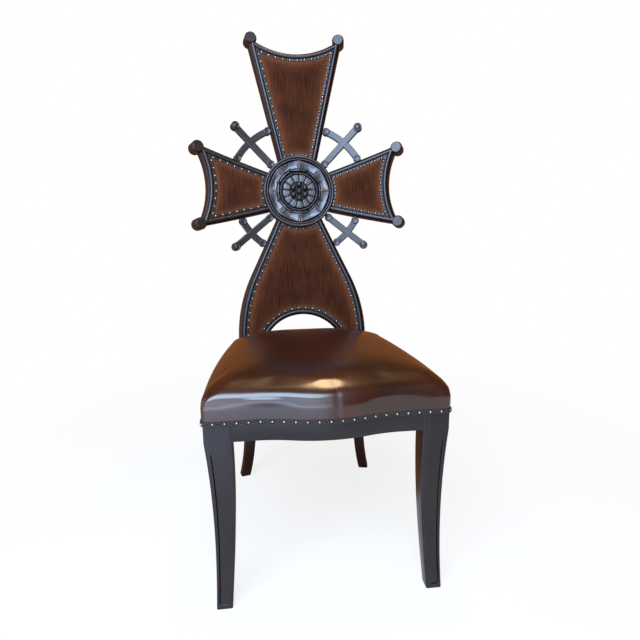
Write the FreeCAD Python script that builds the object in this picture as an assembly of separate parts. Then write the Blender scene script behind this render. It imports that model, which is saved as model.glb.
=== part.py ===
import FreeCAD, Part
import math
import os
from FreeCAD import Vector

# A carved side chair: the back is a cross with four flared arms round a rosette, the seat is stuffed
# over a joined frame. Millimetres, +Z up, the sitter faces -Y. The origin is the middle of the
# floor area under the finished chair.

# Seat plan
seat_width_front = 496.0      # outside the front legs
seat_width_rear = 378.0       # outside the side rails where they meet the rear legs
seat_depth = 507.0            # flat of the front rail to the rear edge of the seat
bow_depth = 20.0              # how far the serpentine front stands forward
bow_half_length = 150.0       # middle of the front to the start of its flat ends

# Seat frame
rail_bottom = 356.0
rail_height = 74.0
rail_thickness = 26.0
rail_show = 36.0              # bare wood below the leather
dowel_radius = 5.0
dowel_length = 48.0
dowel_spread = 34.0           # upper dowel above lower dowel in one joint
dowel_stagger = 12.0          # dowels that run across pass below those that run back
rear_rail_thickness = 40.0
rear_rail_cover = 6.0         # the leather stands this far over the rear rail
side_rail_lap = 1.0           # outer edge of a side rail past the outer corner of the rear leg
block_reach = 46.0            # corner block along each rail
block_height = 42.0
screw_from_end = 14.0         # screw from the thin end of a corner block
screw_bite = 15.0             # screw in the rail
screw_radius = 2.2
screw_length = 44.0
screw_head_radius = 4.4
screw_head_height = 2.6

# Front legs: insets run from the outer side of the seat frame, toes stand forward of the rail
front_leg_top_width = 55.0
front_leg_top_depth = 50.0
front_leg_foot_width = 33.0
front_leg_foot_depth = 29.0
front_leg_taper = 1.25        # over 1 leaves most of the taper near the top
front_foot_inset = 10.0
front_foot_toe = 19.0
front_leg_waist_height = 118.0
front_leg_waist_inset = 13.0
front_leg_waist_toe = 8.0
front_leg_shoulder_height = 236.0
front_leg_shoulder_inset = 10.4
front_leg_shoulder_toe = 2.7

# Rear legs
rear_leg_foot_width = 28.0
rear_leg_foot_depth = 26.0
rear_leg_knee_height = 130.0
rear_foot_splay = 19.0        # the foot stands out from the leg
rear_foot_kick = 10.0         # the foot stands back from the leg
rear_knee_forward = 2.0
rear_rail_forward = 3.0       # the leg is this far forward under the rail

# Upholstery of the seat
crown_height = 94.0           # top of the crown above the lower edge of the leather
crown_fullness = 2.8          # 2 is an ellipse, more is squarer
crown_corner = 40.0           # the front corners of the crown get this much rounder towards its top
crown_rear_corner = 165.0     # the rear corners fall away into a dome
seat_corner = 6.0             # rounding of the front corners
seat_rear_corner = 1.0        # the rear corners are all but square beside the rear legs
leather_thickness = 2.5
leather_gap = 0.3             # between the leather and the wood behind it
strap_width = 50.0
strap_thickness = 1.2
strap_pitch = 84.0            # straps that run across
strap_pitch_along = 72.0      # straps that run from front to rear
strap_inset = 5.0             # strap end inside the outer face of a rail
band_height = 9.0             # trim strip that the seat nails go through
band_thickness = 1.6
band_gap = 0.3
band_lift = 0.5               # band above the lower edge of the leather
dust_sheet_thickness = 1.0
dust_sheet_margin = 12.0

# Back: a curved shell that leans back
back_radius = 700.0           # plan radius of the front face
back_lean = 8.6               # degrees
hub_height = 854.0            # middle of the rosette above the floor
hub_setback = 93.5            # hub behind the rear edge of the seat
frame_thickness = 34.0
frame_width = 34.0            # a stile or rail across its face
show_width = 16.0             # moulded wood outside the upholstery
bead_inset = 4.5
bead_width = 9.0
bead_height = 3.0
rabbet_depth = 10.0           # seat of the upholstery board in the front
panel_rabbet = 5.0            # seat of the outside panel in the rear
panel_lap = 10.0

# Arms of the cross, from the middle of the rosette
upper_root_half = 56.0
upper_root_height = 93.0
upper_knob_half = 125.0
upper_knob_height = 430.0
upper_dip = 35.0              # hollow of the crest between its knobs
side_root_half = 58.0
side_root_reach = 93.0
side_knob_reach = 279.0
side_knob_up = 114.0
side_knob_down = 96.0
side_dip = 24.0
edge_past_knob = 8.0          # an arm's edge passes outside the knob's centre

# Lower arm, which runs down into the rear legs
neck_half = 70.5
neck_drop = 89.5
flare_angle = 24.8            # degrees from upright
flare_end_drop = 242.0
flare_radius = 430.0
arch_radius = 120.0
arch_drop = 479.0             # centre of the arch below the rosette

# Knobs at the arm corners
knob_radius = 17.0
knob_face_radius = 14.0
knob_proud = 7.0
knob_tail = 4.5
knob_chamfer = 2.5

# Hub and carved rosette
hub_radius = 103.0
hub_proud = 10.0              # flat of the rim in front of the frame
field_depth = 5.0             # carved field below the flat of the rim
rim_bead_radius = 4.2
rim_inner_bead_radius = 2.6
collar_radius = 53.0          # bead round the flower
collar_bead_radius = 2.4
leaf_count = 8
leaf_inner_radius = 58.0
leaf_notch_radius = 66.0
leaf_outer_radius = 86.0
leaf_shoulder = 0.22          # share of a leaf from its ridge to the swell of the bracket
leaf_height = 7.0
leaf_dish_half = 13.5         # half width of a dish at the leaf's face
leaf_dish_floor = 6.0         # half width of its floor
leaf_dish_depth = 4.5
leaf_ridge_angle = 6.0        # degrees left between two dishes
petal_count = 13
petal_tip_radius = 49.0
petal_root_radius = 45.0
petal_height = 5.0
petal_groove_half = 1.7       # half width and depth of the cut between petals
seed_count = 6
seed_ring_radius = 20.6
seed_radius = 8.5
seed_lift = 2.1               # middle of a ball in front of the flower
seed_sides = 12               # a ball is cut with flat facets

# Ring bars and spindles between the arms
upper_ring_radius = 195.0
lower_ring_radius = 182.0
bar_width = 18.5
bar_front = 11.0              # behind the face of the frame
bar_thickness = 12.0
boss_radius = 11.0
boss_proud = 2.5              # bosses stand off both faces of a bar
boss_seat = 1.5               # boss let into what carries it
spindle_knob_radius = 12.0
upper_spindle_reach = 254.0
lower_spindle_reach = 241.0
spindle_knob_proud = 4.5
spindle_button_radius = 7.5
spindle_button_height = 2.0

# Upholstery of the back
board_thickness = 6.0
board_gap = 0.4
margin_foam = 1.5             # foam pressed flat under the trim
velvet_thickness = 1.5
pad_crown = 11.0              # foam at the middle of a pad, in front of the board
pad_end_crown = 4.0           # foam near the ends of a pad
pad_tuck = 4.0                # the crown springs from this far under the trim
gimp_width = 10.0
gimp_thickness = 1.2
panel_thickness = 3.5

# Worked out from the sizes above
seat_front = -seat_depth / 2
seat_rear = seat_depth / 2
half_front = seat_width_front / 2
half_rear = seat_width_rear / 2
rail_top = rail_bottom + rail_height
leather_bottom = rail_bottom + rail_show
reach = 140.0                 # half length of the cutting prisms of the back
rear_rail_front = seat_rear - rear_rail_cover
lean = math.radians(back_lean)
hub_y = seat_rear + hub_setback
back_place = FreeCAD.Placement(Vector(0, hub_y, hub_height), FreeCAD.Rotation(Vector(1, 0, 0), -back_lean))
lower_end = -(hub_height - rail_top) / math.cos(lean) - frame_thickness * math.tan(lean)
across = Vector(1, 0, 0)
behind = Vector(0, 1, 0)
up = Vector(0, 0, 1)


def line(a, b):
    return Part.LineSegment(a, b).toShape()


def arc(a, middle, b):
    return Part.Arc(a, middle, b).toShape()


def round_corner(before, corner, after):
    """Arc that rounds a corner between two points on its sides."""
    chord_middle = (before + after) * 0.5
    return arc(before, corner + (chord_middle - corner) * (2 - math.sqrt(2)), after)


def unit(angle):
    """Direction in the flat drawing of the back, angle from +X towards up."""
    return Vector(math.cos(angle), 0, math.sin(angle))


def cross_circle(point, direction, centre, radius, far):
    """Where a line meets a circle, at its far or its near crossing."""
    start = point - centre
    along = start.dot(direction)
    root = math.sqrt(along * along - start.dot(start) + radius * radius)
    return point + direction * (root - along if far else -root - along)


def circle_through(a, b, c):
    circle = Part.Circle(a, b, c)
    return circle.Center, circle.Radius


def mirrored(shape):
    return shape.mirror(Vector(0, 0, 0), across)


def one_solid(shape):
    """The single solid of a boolean result, or a compound when there are several."""
    clean = shape.removeSplitter()
    return clean.Solids[0] if len(clean.Solids) == 1 else Part.makeCompound(clean.Solids)


def group(solids):
    return Part.makeCompound(solids)


def box_between(low, high):
    size = high - low
    return Part.makeBox(size.x, size.y, size.z, low)


# Seat plan

side_turn = math.atan2(half_front - half_rear, seat_depth)
side_radius = math.hypot(half_front - half_rear, seat_depth) / (2 * math.sin(side_turn))
side_centre_x = half_front - side_radius
bow_radius = (bow_half_length**2 + bow_depth**2) / (4 * bow_depth)


def side_x(y, grow):
    """Outer side of the seat plan at a depth, grown outwards."""
    return side_centre_x + math.sqrt((side_radius + grow) ** 2 - (y - seat_front) ** 2)


def front_edges(z, grow, half):
    """Serpentine front from its right end to its left end."""
    y = seat_front - grow
    hollow = Vector(bow_half_length, seat_front - bow_radius, z)
    belly = Vector(0, seat_front - bow_depth + bow_radius, z)
    away = (hollow - belly).normalize()
    turn = belly + away * (bow_radius + grow)
    flat_end = Vector(bow_half_length, y, z)
    blend = ((flat_end + turn) * 0.5 - hollow).normalize()
    hollow_middle = hollow + blend * (bow_radius - grow)
    peak = Vector(0, belly.y - bow_radius - grow, z)

    def other(p):
        return Vector(-p.x, p.y, p.z)

    return [
        line(Vector(half, y, z), flat_end),
        arc(flat_end, hollow_middle, turn),
        arc(turn, peak, other(turn)),
        arc(other(turn), other(hollow_middle), other(flat_end)),
        line(other(flat_end), Vector(-half, y, z)),
    ]


def seat_wire(z, grow, rise=0.0):
    """Closed plan of the seat at a height, grown outwards, rounder with its rise up the crown."""
    front = seat_front - grow
    rear = seat_rear + grow
    half = side_x(seat_front, grow)
    corner = seat_corner + max(grow, 0) + crown_corner * rise
    rear_round = seat_rear_corner + max(grow, 0) + crown_rear_corner * rise
    edges = front_edges(z, grow, half - corner)
    for side in (-1, 1):
        front_side = Vector(side * side_x(front + corner, grow), front + corner, z)
        front_corner = Vector(side * half, front, z)
        front_flat = Vector(side * (half - corner), front, z)
        rear_half = side_x(rear, grow)
        rear_side = Vector(side * side_x(rear - rear_round, grow), rear - rear_round, z)
        rear_corner = Vector(side * rear_half, rear, z)
        rear_flat = Vector(side * (rear_half - rear_round), rear, z)
        side_middle_y = (front + rear) / 2
        side_middle = Vector(side * side_x(side_middle_y, grow), side_middle_y, z)
        run = [
            round_corner(front_flat, front_corner, front_side),
            arc(front_side, side_middle, rear_side),
            round_corner(rear_side, rear_corner, rear_flat),
        ]
        if side < 0:
            edges += run
            last_flat = rear_flat
        else:
            edges += [line(last_flat, rear_flat)] + run[::-1]
    return Part.Wire(Part.__sortEdges__(edges))


def seat_prism(low, high, grow):
    return Part.Face(seat_wire(low, grow)).extrude(Vector(0, 0, high - low))


# Legs


def leg_section(centre_x, centre_y, z, width, depth, turn):
    """Rectangular leg section, turned about its own middle."""
    corners = []
    for sx, sy in ((-1, -1), (1, -1), (1, 1), (-1, 1)):
        offset = Vector(sx * width / 2, sy * depth / 2, 0)
        corners.append(Vector(centre_x, centre_y, z) + FreeCAD.Rotation(up, turn).multVec(offset))
    return Part.makePolygon(corners + corners[:1])


def front_leg():
    """Right front leg: a square tapered sabre leg under a plain joint block."""
    stations = [
        (0, front_foot_inset, front_foot_toe),
        (front_leg_waist_height, front_leg_waist_inset, front_leg_waist_toe),
        (front_leg_shoulder_height, front_leg_shoulder_inset, front_leg_shoulder_toe),
        (rail_bottom, 0, 0),
    ]
    sections = []
    for z, inset, toe in stations:
        share = (z / rail_bottom) ** front_leg_taper
        width = front_leg_foot_width + (front_leg_top_width - front_leg_foot_width) * share
        depth = front_leg_foot_depth + (front_leg_top_depth - front_leg_foot_depth) * share
        centre_x = half_front - inset - width / 2
        centre_y = seat_front - toe + depth / 2
        sections.append(leg_section(centre_x, centre_y, z, width, depth, 0))
    leg = Part.makeLoft(sections, True, False)
    inner = half_front - front_leg_top_width
    rear = seat_front + front_leg_top_depth
    block = box_between(Vector(inner, seat_front, rail_bottom), Vector(half_front, rear, leather_bottom))
    covered = box_between(Vector(inner, seat_front, leather_bottom), Vector(half_front, rear, rail_top))
    covered = covered.common(seat_prism(leather_bottom, rail_top, 0))
    return one_solid(leg.fuse(block).fuse(covered))


def rear_leg():
    """Right rear leg below the seat, turned to follow the curve of the back."""
    across_stile = flare_bottom_half() - frame_width / 2
    turn = math.degrees(math.asin(across_stile / back_radius))
    middle = back_place.multVec(shell_point(across_stile, lower_end, frame_thickness / 2))
    top_depth = frame_thickness / math.cos(lean)
    stations = [
        (0, rear_foot_splay, rear_foot_kick),
        (rear_leg_knee_height, 0, -rear_knee_forward),
        (rail_bottom, 0, -rear_rail_forward),
        (rail_top, 0, 0),
    ]
    sections = []
    for z, splay, kick in stations:
        share = z / rail_top
        width = rear_leg_foot_width + (frame_width - rear_leg_foot_width) * share
        depth = rear_leg_foot_depth + (top_depth - rear_leg_foot_depth) * share
        sections.append(leg_section(middle.x + splay, middle.y + kick, z, width, depth, -turn))
    return Part.makeLoft(sections, True, False)


# Curved back, drawn flat as (across, up) from the middle of the rosette


def shell_point(u, v, depth):
    """Point of the curved back, a depth behind the front face of the frame."""
    angle = math.asin(u / back_radius)
    radius = back_radius + depth
    return Vector(radius * math.sin(angle), radius * math.cos(angle) - back_radius, v)


def shell_normal(u):
    angle = math.asin(u / back_radius)
    return Vector(math.sin(angle), math.cos(angle), 0)


def flat_point(u, v):
    return Vector(u, 0, v)


def prism(edges):
    """Prism through the whole back from a flat outline."""
    face = Part.Face(Part.Wire(edges))
    face.translate(Vector(0, -reach, 0))
    return face.extrude(Vector(0, 2 * reach, 0))


def polygon_prism(points):
    return prism([line(a, b) for a, b in zip(points, points[1:] + points[:1])])


def disc_prism(centre, radius):
    return Part.makeCylinder(radius, 2 * reach, centre - behind * reach, behind)


def curve_cylinder(depth):
    span = 2 * hub_height
    return Part.makeCylinder(back_radius + depth, 2 * span, Vector(0, -back_radius, -span), up)


def between(solid, front, back):
    """The part of a prism between two depths behind the face of the frame."""
    return solid.common(curve_cylinder(back)).cut(curve_cylinder(front))


def stud(u, v, radius, front, back):
    """Round stud square to the curved back, between two depths."""
    return Part.makeCylinder(radius, back - front, shell_point(u, v, front), shell_normal(u))


class Arm:
    """A flared arm: two straight edges, a hollow end between two knobs, and the hub circle."""

    def __init__(self, roots, tips, knobs, end_middle):
        self.roots = roots
        self.tips = tips
        self.knobs = knobs
        self.end_middle = end_middle
        self.end_centre, self.end_radius = circle_through(knobs[0], end_middle, knobs[1])

    def edge(self, side, inset):
        """Start and direction of an edge line, moved inside the arm."""
        direction = (self.tips[side] - self.roots[side]).normalize()
        inward = Vector(-direction.z, 0, direction.x)
        if inward.dot(self.end_middle - self.roots[side]) < 0:
            inward = inward * -1
        return self.roots[side] + inward * inset, direction

    def corner(self, side, inset):
        point, direction = self.edge(side, inset)
        return cross_circle(point, direction, self.end_centre, self.end_radius + inset, False)

    def hub_corner(self, side, inset, hub_gap):
        point, direction = self.edge(side, inset)
        return cross_circle(point, direction, Vector(0, 0, 0), hub_radius + hub_gap, True)

    def prism(self, inset, hub_gap=0.0):
        outward = (self.end_middle - self.end_centre).normalize()
        end_middle = self.end_centre + outward * (self.end_radius + inset)
        hub_middle = Vector(self.end_middle).normalize() * (hub_radius + hub_gap)
        low_hub, high_hub = (self.hub_corner(side, inset, hub_gap) for side in (0, 1))
        low_tip, high_tip = (self.corner(side, inset) for side in (0, 1))
        return prism([
            line(low_hub, low_tip),
            arc(low_tip, end_middle, high_tip),
            line(high_tip, high_hub),
            arc(high_hub, hub_middle, low_hub),
        ])

    def rail_region(self):
        """Region of the end rail, mitred at the knobs."""
        inner = [self.corner(side, frame_width) for side in (0, 1)]
        outer = [knob + (knob - corner) * 2 for knob, corner in zip(self.knobs, inner)]
        along = Vector(self.end_middle).normalize()
        return polygon_prism([
            inner[0],
            self.end_middle - along * (2 * frame_width),
            inner[1],
            outer[1],
            self.end_middle + along * reach,
            outer[0],
        ])


upper_tip = upper_knob_half + edge_past_knob
upper_arm = Arm(
    [flat_point(-upper_root_half, upper_root_height), flat_point(upper_root_half, upper_root_height)],
    [flat_point(-upper_tip, upper_knob_height), flat_point(upper_tip, upper_knob_height)],
    [flat_point(-upper_knob_half, upper_knob_height), flat_point(upper_knob_half, upper_knob_height)],
    flat_point(0, upper_knob_height - upper_dip),
)
side_arm = Arm(
    [flat_point(side_root_reach, -side_root_half), flat_point(side_root_reach, side_root_half)],
    [
        flat_point(side_knob_reach, -side_knob_down - edge_past_knob),
        flat_point(side_knob_reach, side_knob_up + edge_past_knob),
    ],
    [flat_point(side_knob_reach, -side_knob_down), flat_point(side_knob_reach, side_knob_up)],
    flat_point(side_knob_reach - side_dip, (side_knob_up - side_knob_down) / 2),
)

# Lower arm: each edge is a straight flare that turns upright on one arc
flare = math.radians(flare_angle)
flare_down = Vector(math.sin(flare), 0, -math.cos(flare))
flare_inward = Vector(-math.cos(flare), 0, -math.sin(flare))
neck_point = flat_point(neck_half, -neck_drop)
flare_end = neck_point + flare_down * ((flare_end_drop - neck_drop) / math.cos(flare))
flare_centre = flare_end + flare_inward * flare_radius
arch_centre = flat_point(0, -arch_drop)


def flare_bottom_half(inset=0.0):
    """Half width of the lower arm where it ends behind the seat."""
    rise = lower_end - flare_centre.z
    return flare_centre.x + math.sqrt((flare_radius - inset) ** 2 - rise * rise)


def lower_side(inset, hub_gap=0.0):
    """Right-hand edges of the lower arm, from the hub down."""
    edge = neck_point + flare_inward * inset
    start = cross_circle(edge, flare_down, Vector(0, 0, 0), hub_radius + hub_gap, True)
    turn = flare_end + flare_inward * inset
    bottom = flat_point(flare_bottom_half(inset), lower_end)
    out = ((turn + bottom) * 0.5 - flare_centre).normalize()
    return start, turn, flare_centre + out * (flare_radius - inset), bottom


def lower_prism(inset, hub_gap=0.0):
    """Lower arm inside both edges, from the hub circle to its lower end."""
    start, turn, middle, bottom = lower_side(inset, hub_gap)
    right = [line(start, turn), arc(turn, middle, bottom)]
    left = [mirrored(edge) for edge in right]
    base = line(bottom, flat_point(-bottom.x, bottom.z))
    top = arc(flat_point(-start.x, start.z), flat_point(0, -hub_radius - hub_gap), start)
    return prism(Part.__sortEdges__(right + left + [base, top]))


def seat_clear(solid):
    """Cut a placed piece off level with the top of the seat frame."""
    far = 2 * hub_height
    return solid.cut(box_between(Vector(-far, -far, -far), Vector(far, far, rail_top)))


def moulded(ring_prism):
    """Frame blank with its raised bead, from a function that gives the outline at an inset."""
    blank = between(ring_prism(0), 0, frame_thickness)
    strip = ring_prism(bead_inset).cut(ring_prism(bead_inset + bead_width))
    blank = blank.fuse(between(strip, -bead_height, bead_height))
    blank = blank.cut(ring_prism(frame_width))
    blank = blank.cut(between(ring_prism(show_width), -reach, rabbet_depth))
    rear = ring_prism(frame_width - panel_lap)
    return blank.cut(between(rear, frame_thickness - panel_rabbet, frame_thickness + reach))


def knob_at(point):
    """Drum knob with a chamfered face, square to the curved back."""
    back = frame_thickness + knob_tail
    profile = [
        Vector(0, -knob_proud, 0),
        Vector(knob_face_radius, -knob_proud, 0),
        Vector(knob_radius, -knob_proud + knob_chamfer, 0),
        Vector(knob_radius, back - knob_chamfer, 0),
        Vector(knob_radius - knob_chamfer, back, 0),
        Vector(0, back, 0),
    ]
    drum = Part.Face(Part.makePolygon(profile + profile[:1])).revolve(Vector(0, 0, 0), behind, 360)
    drum.Placement = FreeCAD.Placement(
        shell_point(point.x, point.z, 0), FreeCAD.Rotation(behind, shell_normal(point.x))
    )
    return drum


def knob_bore(point):
    return stud(point.x, point.z, knob_radius, -reach / 2, reach / 2)


def arm_frame(arm):
    """End rail and the two stiles of an arm."""
    frame = moulded(arm.prism)
    for knob in arm.knobs:
        frame = frame.cut(knob_bore(knob))
    region = arm.rail_region()
    return one_solid(frame.common(region)), frame.cut(region).Solids


# Hub and rosette, turned and carved about the hub axis


def bead(middle, radius, base):
    """Points of a bead cut with flat sides, half of an octagon."""
    turns = [math.pi * k / 4 for k in range(5)]
    return [Vector(middle - radius * math.cos(t), base - radius * math.sin(t), 0) for t in turns]


def hub_block():
    front = -hub_proud
    field = front + field_depth
    quirk = hub_radius - 2 * rim_bead_radius
    rim_end = quirk - 2 * rim_inner_bead_radius
    profile = [Vector(0, field, 0)]
    profile += bead(collar_radius, collar_bead_radius, field)
    profile += [Vector(rim_end, field, 0)]
    profile += bead(quirk - rim_inner_bead_radius, rim_inner_bead_radius, front)
    profile += bead(hub_radius - rim_bead_radius, rim_bead_radius, front)[1:]
    profile += [Vector(hub_radius, frame_thickness, 0), Vector(0, frame_thickness, 0)]
    return Part.Face(Part.makePolygon(profile + profile[:1])).revolve(Vector(0, 0, 0), behind, 360)


def rosette_leaves():
    """Ring of dished leaves, bracket-shaped towards the flower."""
    field = -hub_proud + field_depth
    step = 2 * math.pi / leaf_count
    edges = []
    for k in range(leaf_count):
        ridge = unit(k * step) * leaf_inner_radius
        notch = unit((k + 0.5) * step) * leaf_notch_radius
        next_ridge = unit((k + 1) * step) * leaf_inner_radius
        swell = (leaf_inner_radius + 2 * leaf_notch_radius) / 3
        edges.append(arc(ridge, unit((k + leaf_shoulder) * step) * swell, notch))
        edges.append(arc(notch, unit((k + 1 - leaf_shoulder) * step) * swell, next_ridge))
    rim = Part.Face(Part.Wire(Part.makeCircle(leaf_outer_radius, Vector(0, 0, 0), behind)))
    ring = rim.cut(Part.Face(Part.Wire(edges)))
    ring.translate(Vector(0, field, 0))
    ring = ring.extrude(Vector(0, -leaf_height, 0))
    middle = (leaf_notch_radius + leaf_outer_radius) / 2
    face = field - leaf_height
    floor = face + leaf_dish_depth
    section = [
        Vector(middle - leaf_dish_half, face, 0),
        Vector(middle - leaf_dish_floor, floor, 0),
        Vector(middle + leaf_dish_floor, floor, 0),
        Vector(middle + leaf_dish_half, face, 0),
        Vector(middle, face - leaf_dish_depth, 0),
    ]
    dish = Part.Face(Part.makePolygon(section + section[:1]))
    dish = dish.revolve(Vector(0, 0, 0), behind, 360 / leaf_count - leaf_ridge_angle)
    for k in range(leaf_count):
        tool = dish.copy()
        tool.rotate(Vector(0, 0, 0), behind, k * 360 / leaf_count + leaf_ridge_angle / 2)
        ring = ring.cut(tool)
    return one_solid(ring)


def rosette_daisy():
    """Flower disc with a scalloped edge and a groove between petals."""
    field = -hub_proud + field_depth
    step = 2 * math.pi / petal_count
    edges = []
    for k in range(petal_count):
        start = unit(k * step) * petal_root_radius
        tip = unit((k + 0.5) * step) * petal_tip_radius
        edges.append(arc(start, tip, unit((k + 1) * step) * petal_root_radius))
    flower = Part.Face(Part.Wire(edges))
    flower.translate(Vector(0, field, 0))
    flower = flower.extrude(Vector(0, -petal_height, 0))
    groove_start = seed_ring_radius + seed_radius
    for k in range(petal_count):
        out = unit(k * step)
        start = out * groove_start + Vector(0, field - petal_height, 0)
        side = Vector(-out.z, 0, out.x) * petal_groove_half
        deep = behind * petal_groove_half
        corners = [start - side, start + deep, start + side, start - deep]
        groove = Part.Face(Part.makePolygon(corners + corners[:1]))
        flower = flower.cut(groove.extrude(out * petal_tip_radius))
    return one_solid(flower)


def rosette_seeds():
    """A round of half-sunk balls about one in the middle."""
    face = -hub_proud + field_depth - petal_height
    foot = -math.degrees(math.asin(seed_lift / seed_radius))
    sections = []
    for turn in (foot, 15, 45, 70):
        rise = math.radians(turn)
        height = face - seed_lift - seed_radius * math.sin(rise)
        spread = seed_radius * math.cos(rise)
        turns = [2 * math.pi * k / seed_sides for k in range(seed_sides)]
        corners = [unit(t) * spread + behind * height for t in turns]
        sections.append(Part.makePolygon(corners + corners[:1]))
    ball = Part.makeLoft(sections, True, True)
    places = [Vector(0, 0, 0)]
    places += [unit(math.pi / 2 + k * 2 * math.pi / seed_count) * seed_ring_radius for k in range(seed_count)]
    return group([ball.translated(place) for place in places])


# Ring bars and spindles


def boss_centre(point, direction, outward, ring_radius):
    """Middle of a boss on the ring, let into the edge line of an arm."""
    off = point + outward * (boss_radius - boss_seat)
    return cross_circle(off, direction, Vector(0, 0, 0), ring_radius, True)


def ring_parts(first, second, ring_radius, knob_reach, carriers):
    """Spindle and ring bar of one opening, halved together where they cross."""
    back = bar_front + bar_thickness
    middle_angle = (math.atan2(first.z, first.x) + math.atan2(second.z, second.x)) / 2
    out = unit(middle_angle)
    side = Vector(-out.z, 0, out.x) * (bar_width / 2)
    inner = out * (hub_radius + boss_radius - boss_seat)
    knob = out * knob_reach
    bar = polygon_prism([inner - side, knob - side, knob + side, inner + side])
    inner_arc = ring_radius - bar_width / 2
    outer_arc = ring_radius + bar_width / 2
    one = Vector(first).normalize()
    two = Vector(second).normalize()
    curve = prism([
        arc(one * inner_arc, out * inner_arc, two * inner_arc),
        line(two * inner_arc, two * outer_arc),
        arc(two * outer_arc, out * outer_arc, one * outer_arc),
        line(one * outer_arc, one * inner_arc),
    ])
    lap = bar.common(curve)
    half_depth = bar_front + bar_thickness / 2
    knob_front = bar_front - spindle_knob_proud
    spindle = between(bar, bar_front, back)
    for piece in (
        stud(inner.x, inner.z, boss_radius, bar_front - boss_proud, back + boss_proud),
        stud(knob.x, knob.z, spindle_knob_radius, knob_front, back + spindle_knob_proud),
        stud(knob.x, knob.z, spindle_button_radius, knob_front - spindle_button_height, back),
    ):
        spindle = spindle.fuse(piece)
    spindle = spindle.cut(between(lap, half_depth, back + bar_thickness))
    spindle = spindle.cut(disc_prism(Vector(0, 0, 0), hub_radius))
    ring_bar = between(curve, bar_front, back)
    ring_bar = ring_bar.cut(between(lap, bar_front - bar_thickness, half_depth))
    for centre in (first, second):
        boss = stud(centre.x, centre.z, boss_radius, bar_front - boss_proud, back + boss_proud)
        ring_bar = ring_bar.fuse(boss)
    for carrier in carriers:
        ring_bar = ring_bar.cut(carrier)
    return one_solid(spindle), one_solid(ring_bar)


# Pads of the back


def crown_section(low, middle, high, edge_depth, apex_depth, back_depth):
    """Section of a pad: flat against its board, crowned in front."""
    back_low, back_middle, back_high = (shell_point(p.x, p.z, back_depth) for p in (low, middle, high))
    front_low, front_high = (shell_point(p.x, p.z, edge_depth) for p in (low, high))
    apex = shell_point(middle.x, middle.z, apex_depth)
    back = line(back_high, back_low) if low.x == high.x else arc(back_high, back_middle, back_low)
    return Part.Wire([
        line(back_low, front_low),
        arc(front_low, apex, front_high),
        line(front_high, back_high),
        back,
    ])


def crown_loft(stations, lift):
    """Crowned body through stations (low, high, crown height), raised by a lift."""
    board_front = rabbet_depth - board_thickness
    sections = []
    for low, high, crown in stations:
        edge = board_front - lift
        sections.append(crown_section(low, (low + high) * 0.5, high, edge, edge - crown, rabbet_depth))
    return Part.makeLoft(sections, True, True)


def pad_parts(outline, stations, trim):
    """Board, foam, velvet, trim strip and outside panel in an outline given by its insets."""
    board_front = rabbet_depth - board_thickness
    foam_front = board_front - margin_foam
    velvet_front = foam_front - velvet_thickness
    covered = curve_cylinder(reach).cut(curve_cylinder(board_front))
    bed = outline(show_width + board_gap, board_gap)
    field = outline(show_width + gimp_width, gimp_width)
    foam_field = outline(show_width + gimp_width + velvet_thickness, gimp_width + velvet_thickness)
    board = between(bed, board_front, rabbet_depth)
    foam_crown = crown_loft(stations, margin_foam).common(foam_field).cut(covered)
    foam = between(bed, foam_front, board_front).fuse(foam_crown)
    skin = crown_loft(stations, margin_foam + velvet_thickness).common(field).cut(covered)
    velvet = between(bed, velvet_front, board_front).fuse(skin).cut(foam)
    gimp = between(bed.cut(field), velvet_front - gimp_thickness, velvet_front)
    panel_back = frame_thickness - (panel_rabbet - panel_thickness) / 2
    panel_bed = outline(frame_width - panel_lap + board_gap, board_gap)
    panel = between(panel_bed, panel_back - panel_thickness, panel_back)
    return [one_solid(trim(piece)) for piece in (board, foam, velvet, gimp, panel)]


# Sections of a pad run past both of its ends, so that the outline cuts its ends
pad_shares = (-0.3, 0.0, 0.25, 0.5, 0.75, 1.0, 1.3)


def pad_height(share):
    """Crown of a pad along its length, low at both ends."""
    swell = max(0.0, 1 - (2 * share - 1) ** 2)
    return pad_end_crown + (pad_crown - pad_end_crown) * swell


def upper_stations():
    """Pad sections of the upper arm, from the hub to the crest."""
    inset = show_width + gimp_width - pad_tuck
    point, direction = upper_arm.edge(1, inset)
    crest = upper_knob_height - upper_dip - inset
    start = hub_radius + gimp_width
    stations = []
    for share in pad_shares:
        v = start + share * (crest - start)
        half = point.x + direction.x * (v - point.z) / direction.z
        stations.append((flat_point(-half, v), flat_point(half, v), pad_height(share)))
    return stations


def side_stations():
    """Pad sections of the right arm, from the hub to its end."""
    inset = show_width + gimp_width - pad_tuck
    low_point, low_direction = side_arm.edge(0, inset)
    high_point, high_direction = side_arm.edge(1, inset)
    start = hub_radius + gimp_width
    length = side_knob_reach - side_dip - inset - start
    stations = []
    for share in pad_shares:
        u = start + share * length
        low = low_point.z + low_direction.z * (u - low_point.x) / low_direction.x
        high = high_point.z + high_direction.z * (u - high_point.x) / high_direction.x
        stations.append((flat_point(u, low), flat_point(u, high), pad_height(share)))
    return stations


def lower_half_at(v, inset):
    """Half width of the lower arm at a height, inside its edges."""
    turn = lower_side(inset)[1]
    if v > turn.z:
        return turn.x - (v - turn.z) * math.tan(flare)
    rise = v - flare_centre.z
    return flare_centre.x + math.sqrt((flare_radius - inset) ** 2 - rise * rise)


def lower_stations():
    """Pad sections of the lower arm, from the hub down behind the seat, where it stays full."""
    inset = show_width + gimp_width - pad_tuck
    top = -hub_radius - gimp_width
    stations = []
    for share in pad_shares[:-1]:
        v = top + share * (lower_end - top)
        half = lower_half_at(v, inset)
        stations.append((flat_point(-half, v), flat_point(half, v), pad_height(min(share, 0.5))))
    return stations


def lower_outline(inset, hub_gap=0.0):
    return lower_prism(inset, hub_gap).cut(disc_prism(arch_centre, arch_radius + inset))


# Build

nodes = {}


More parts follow.
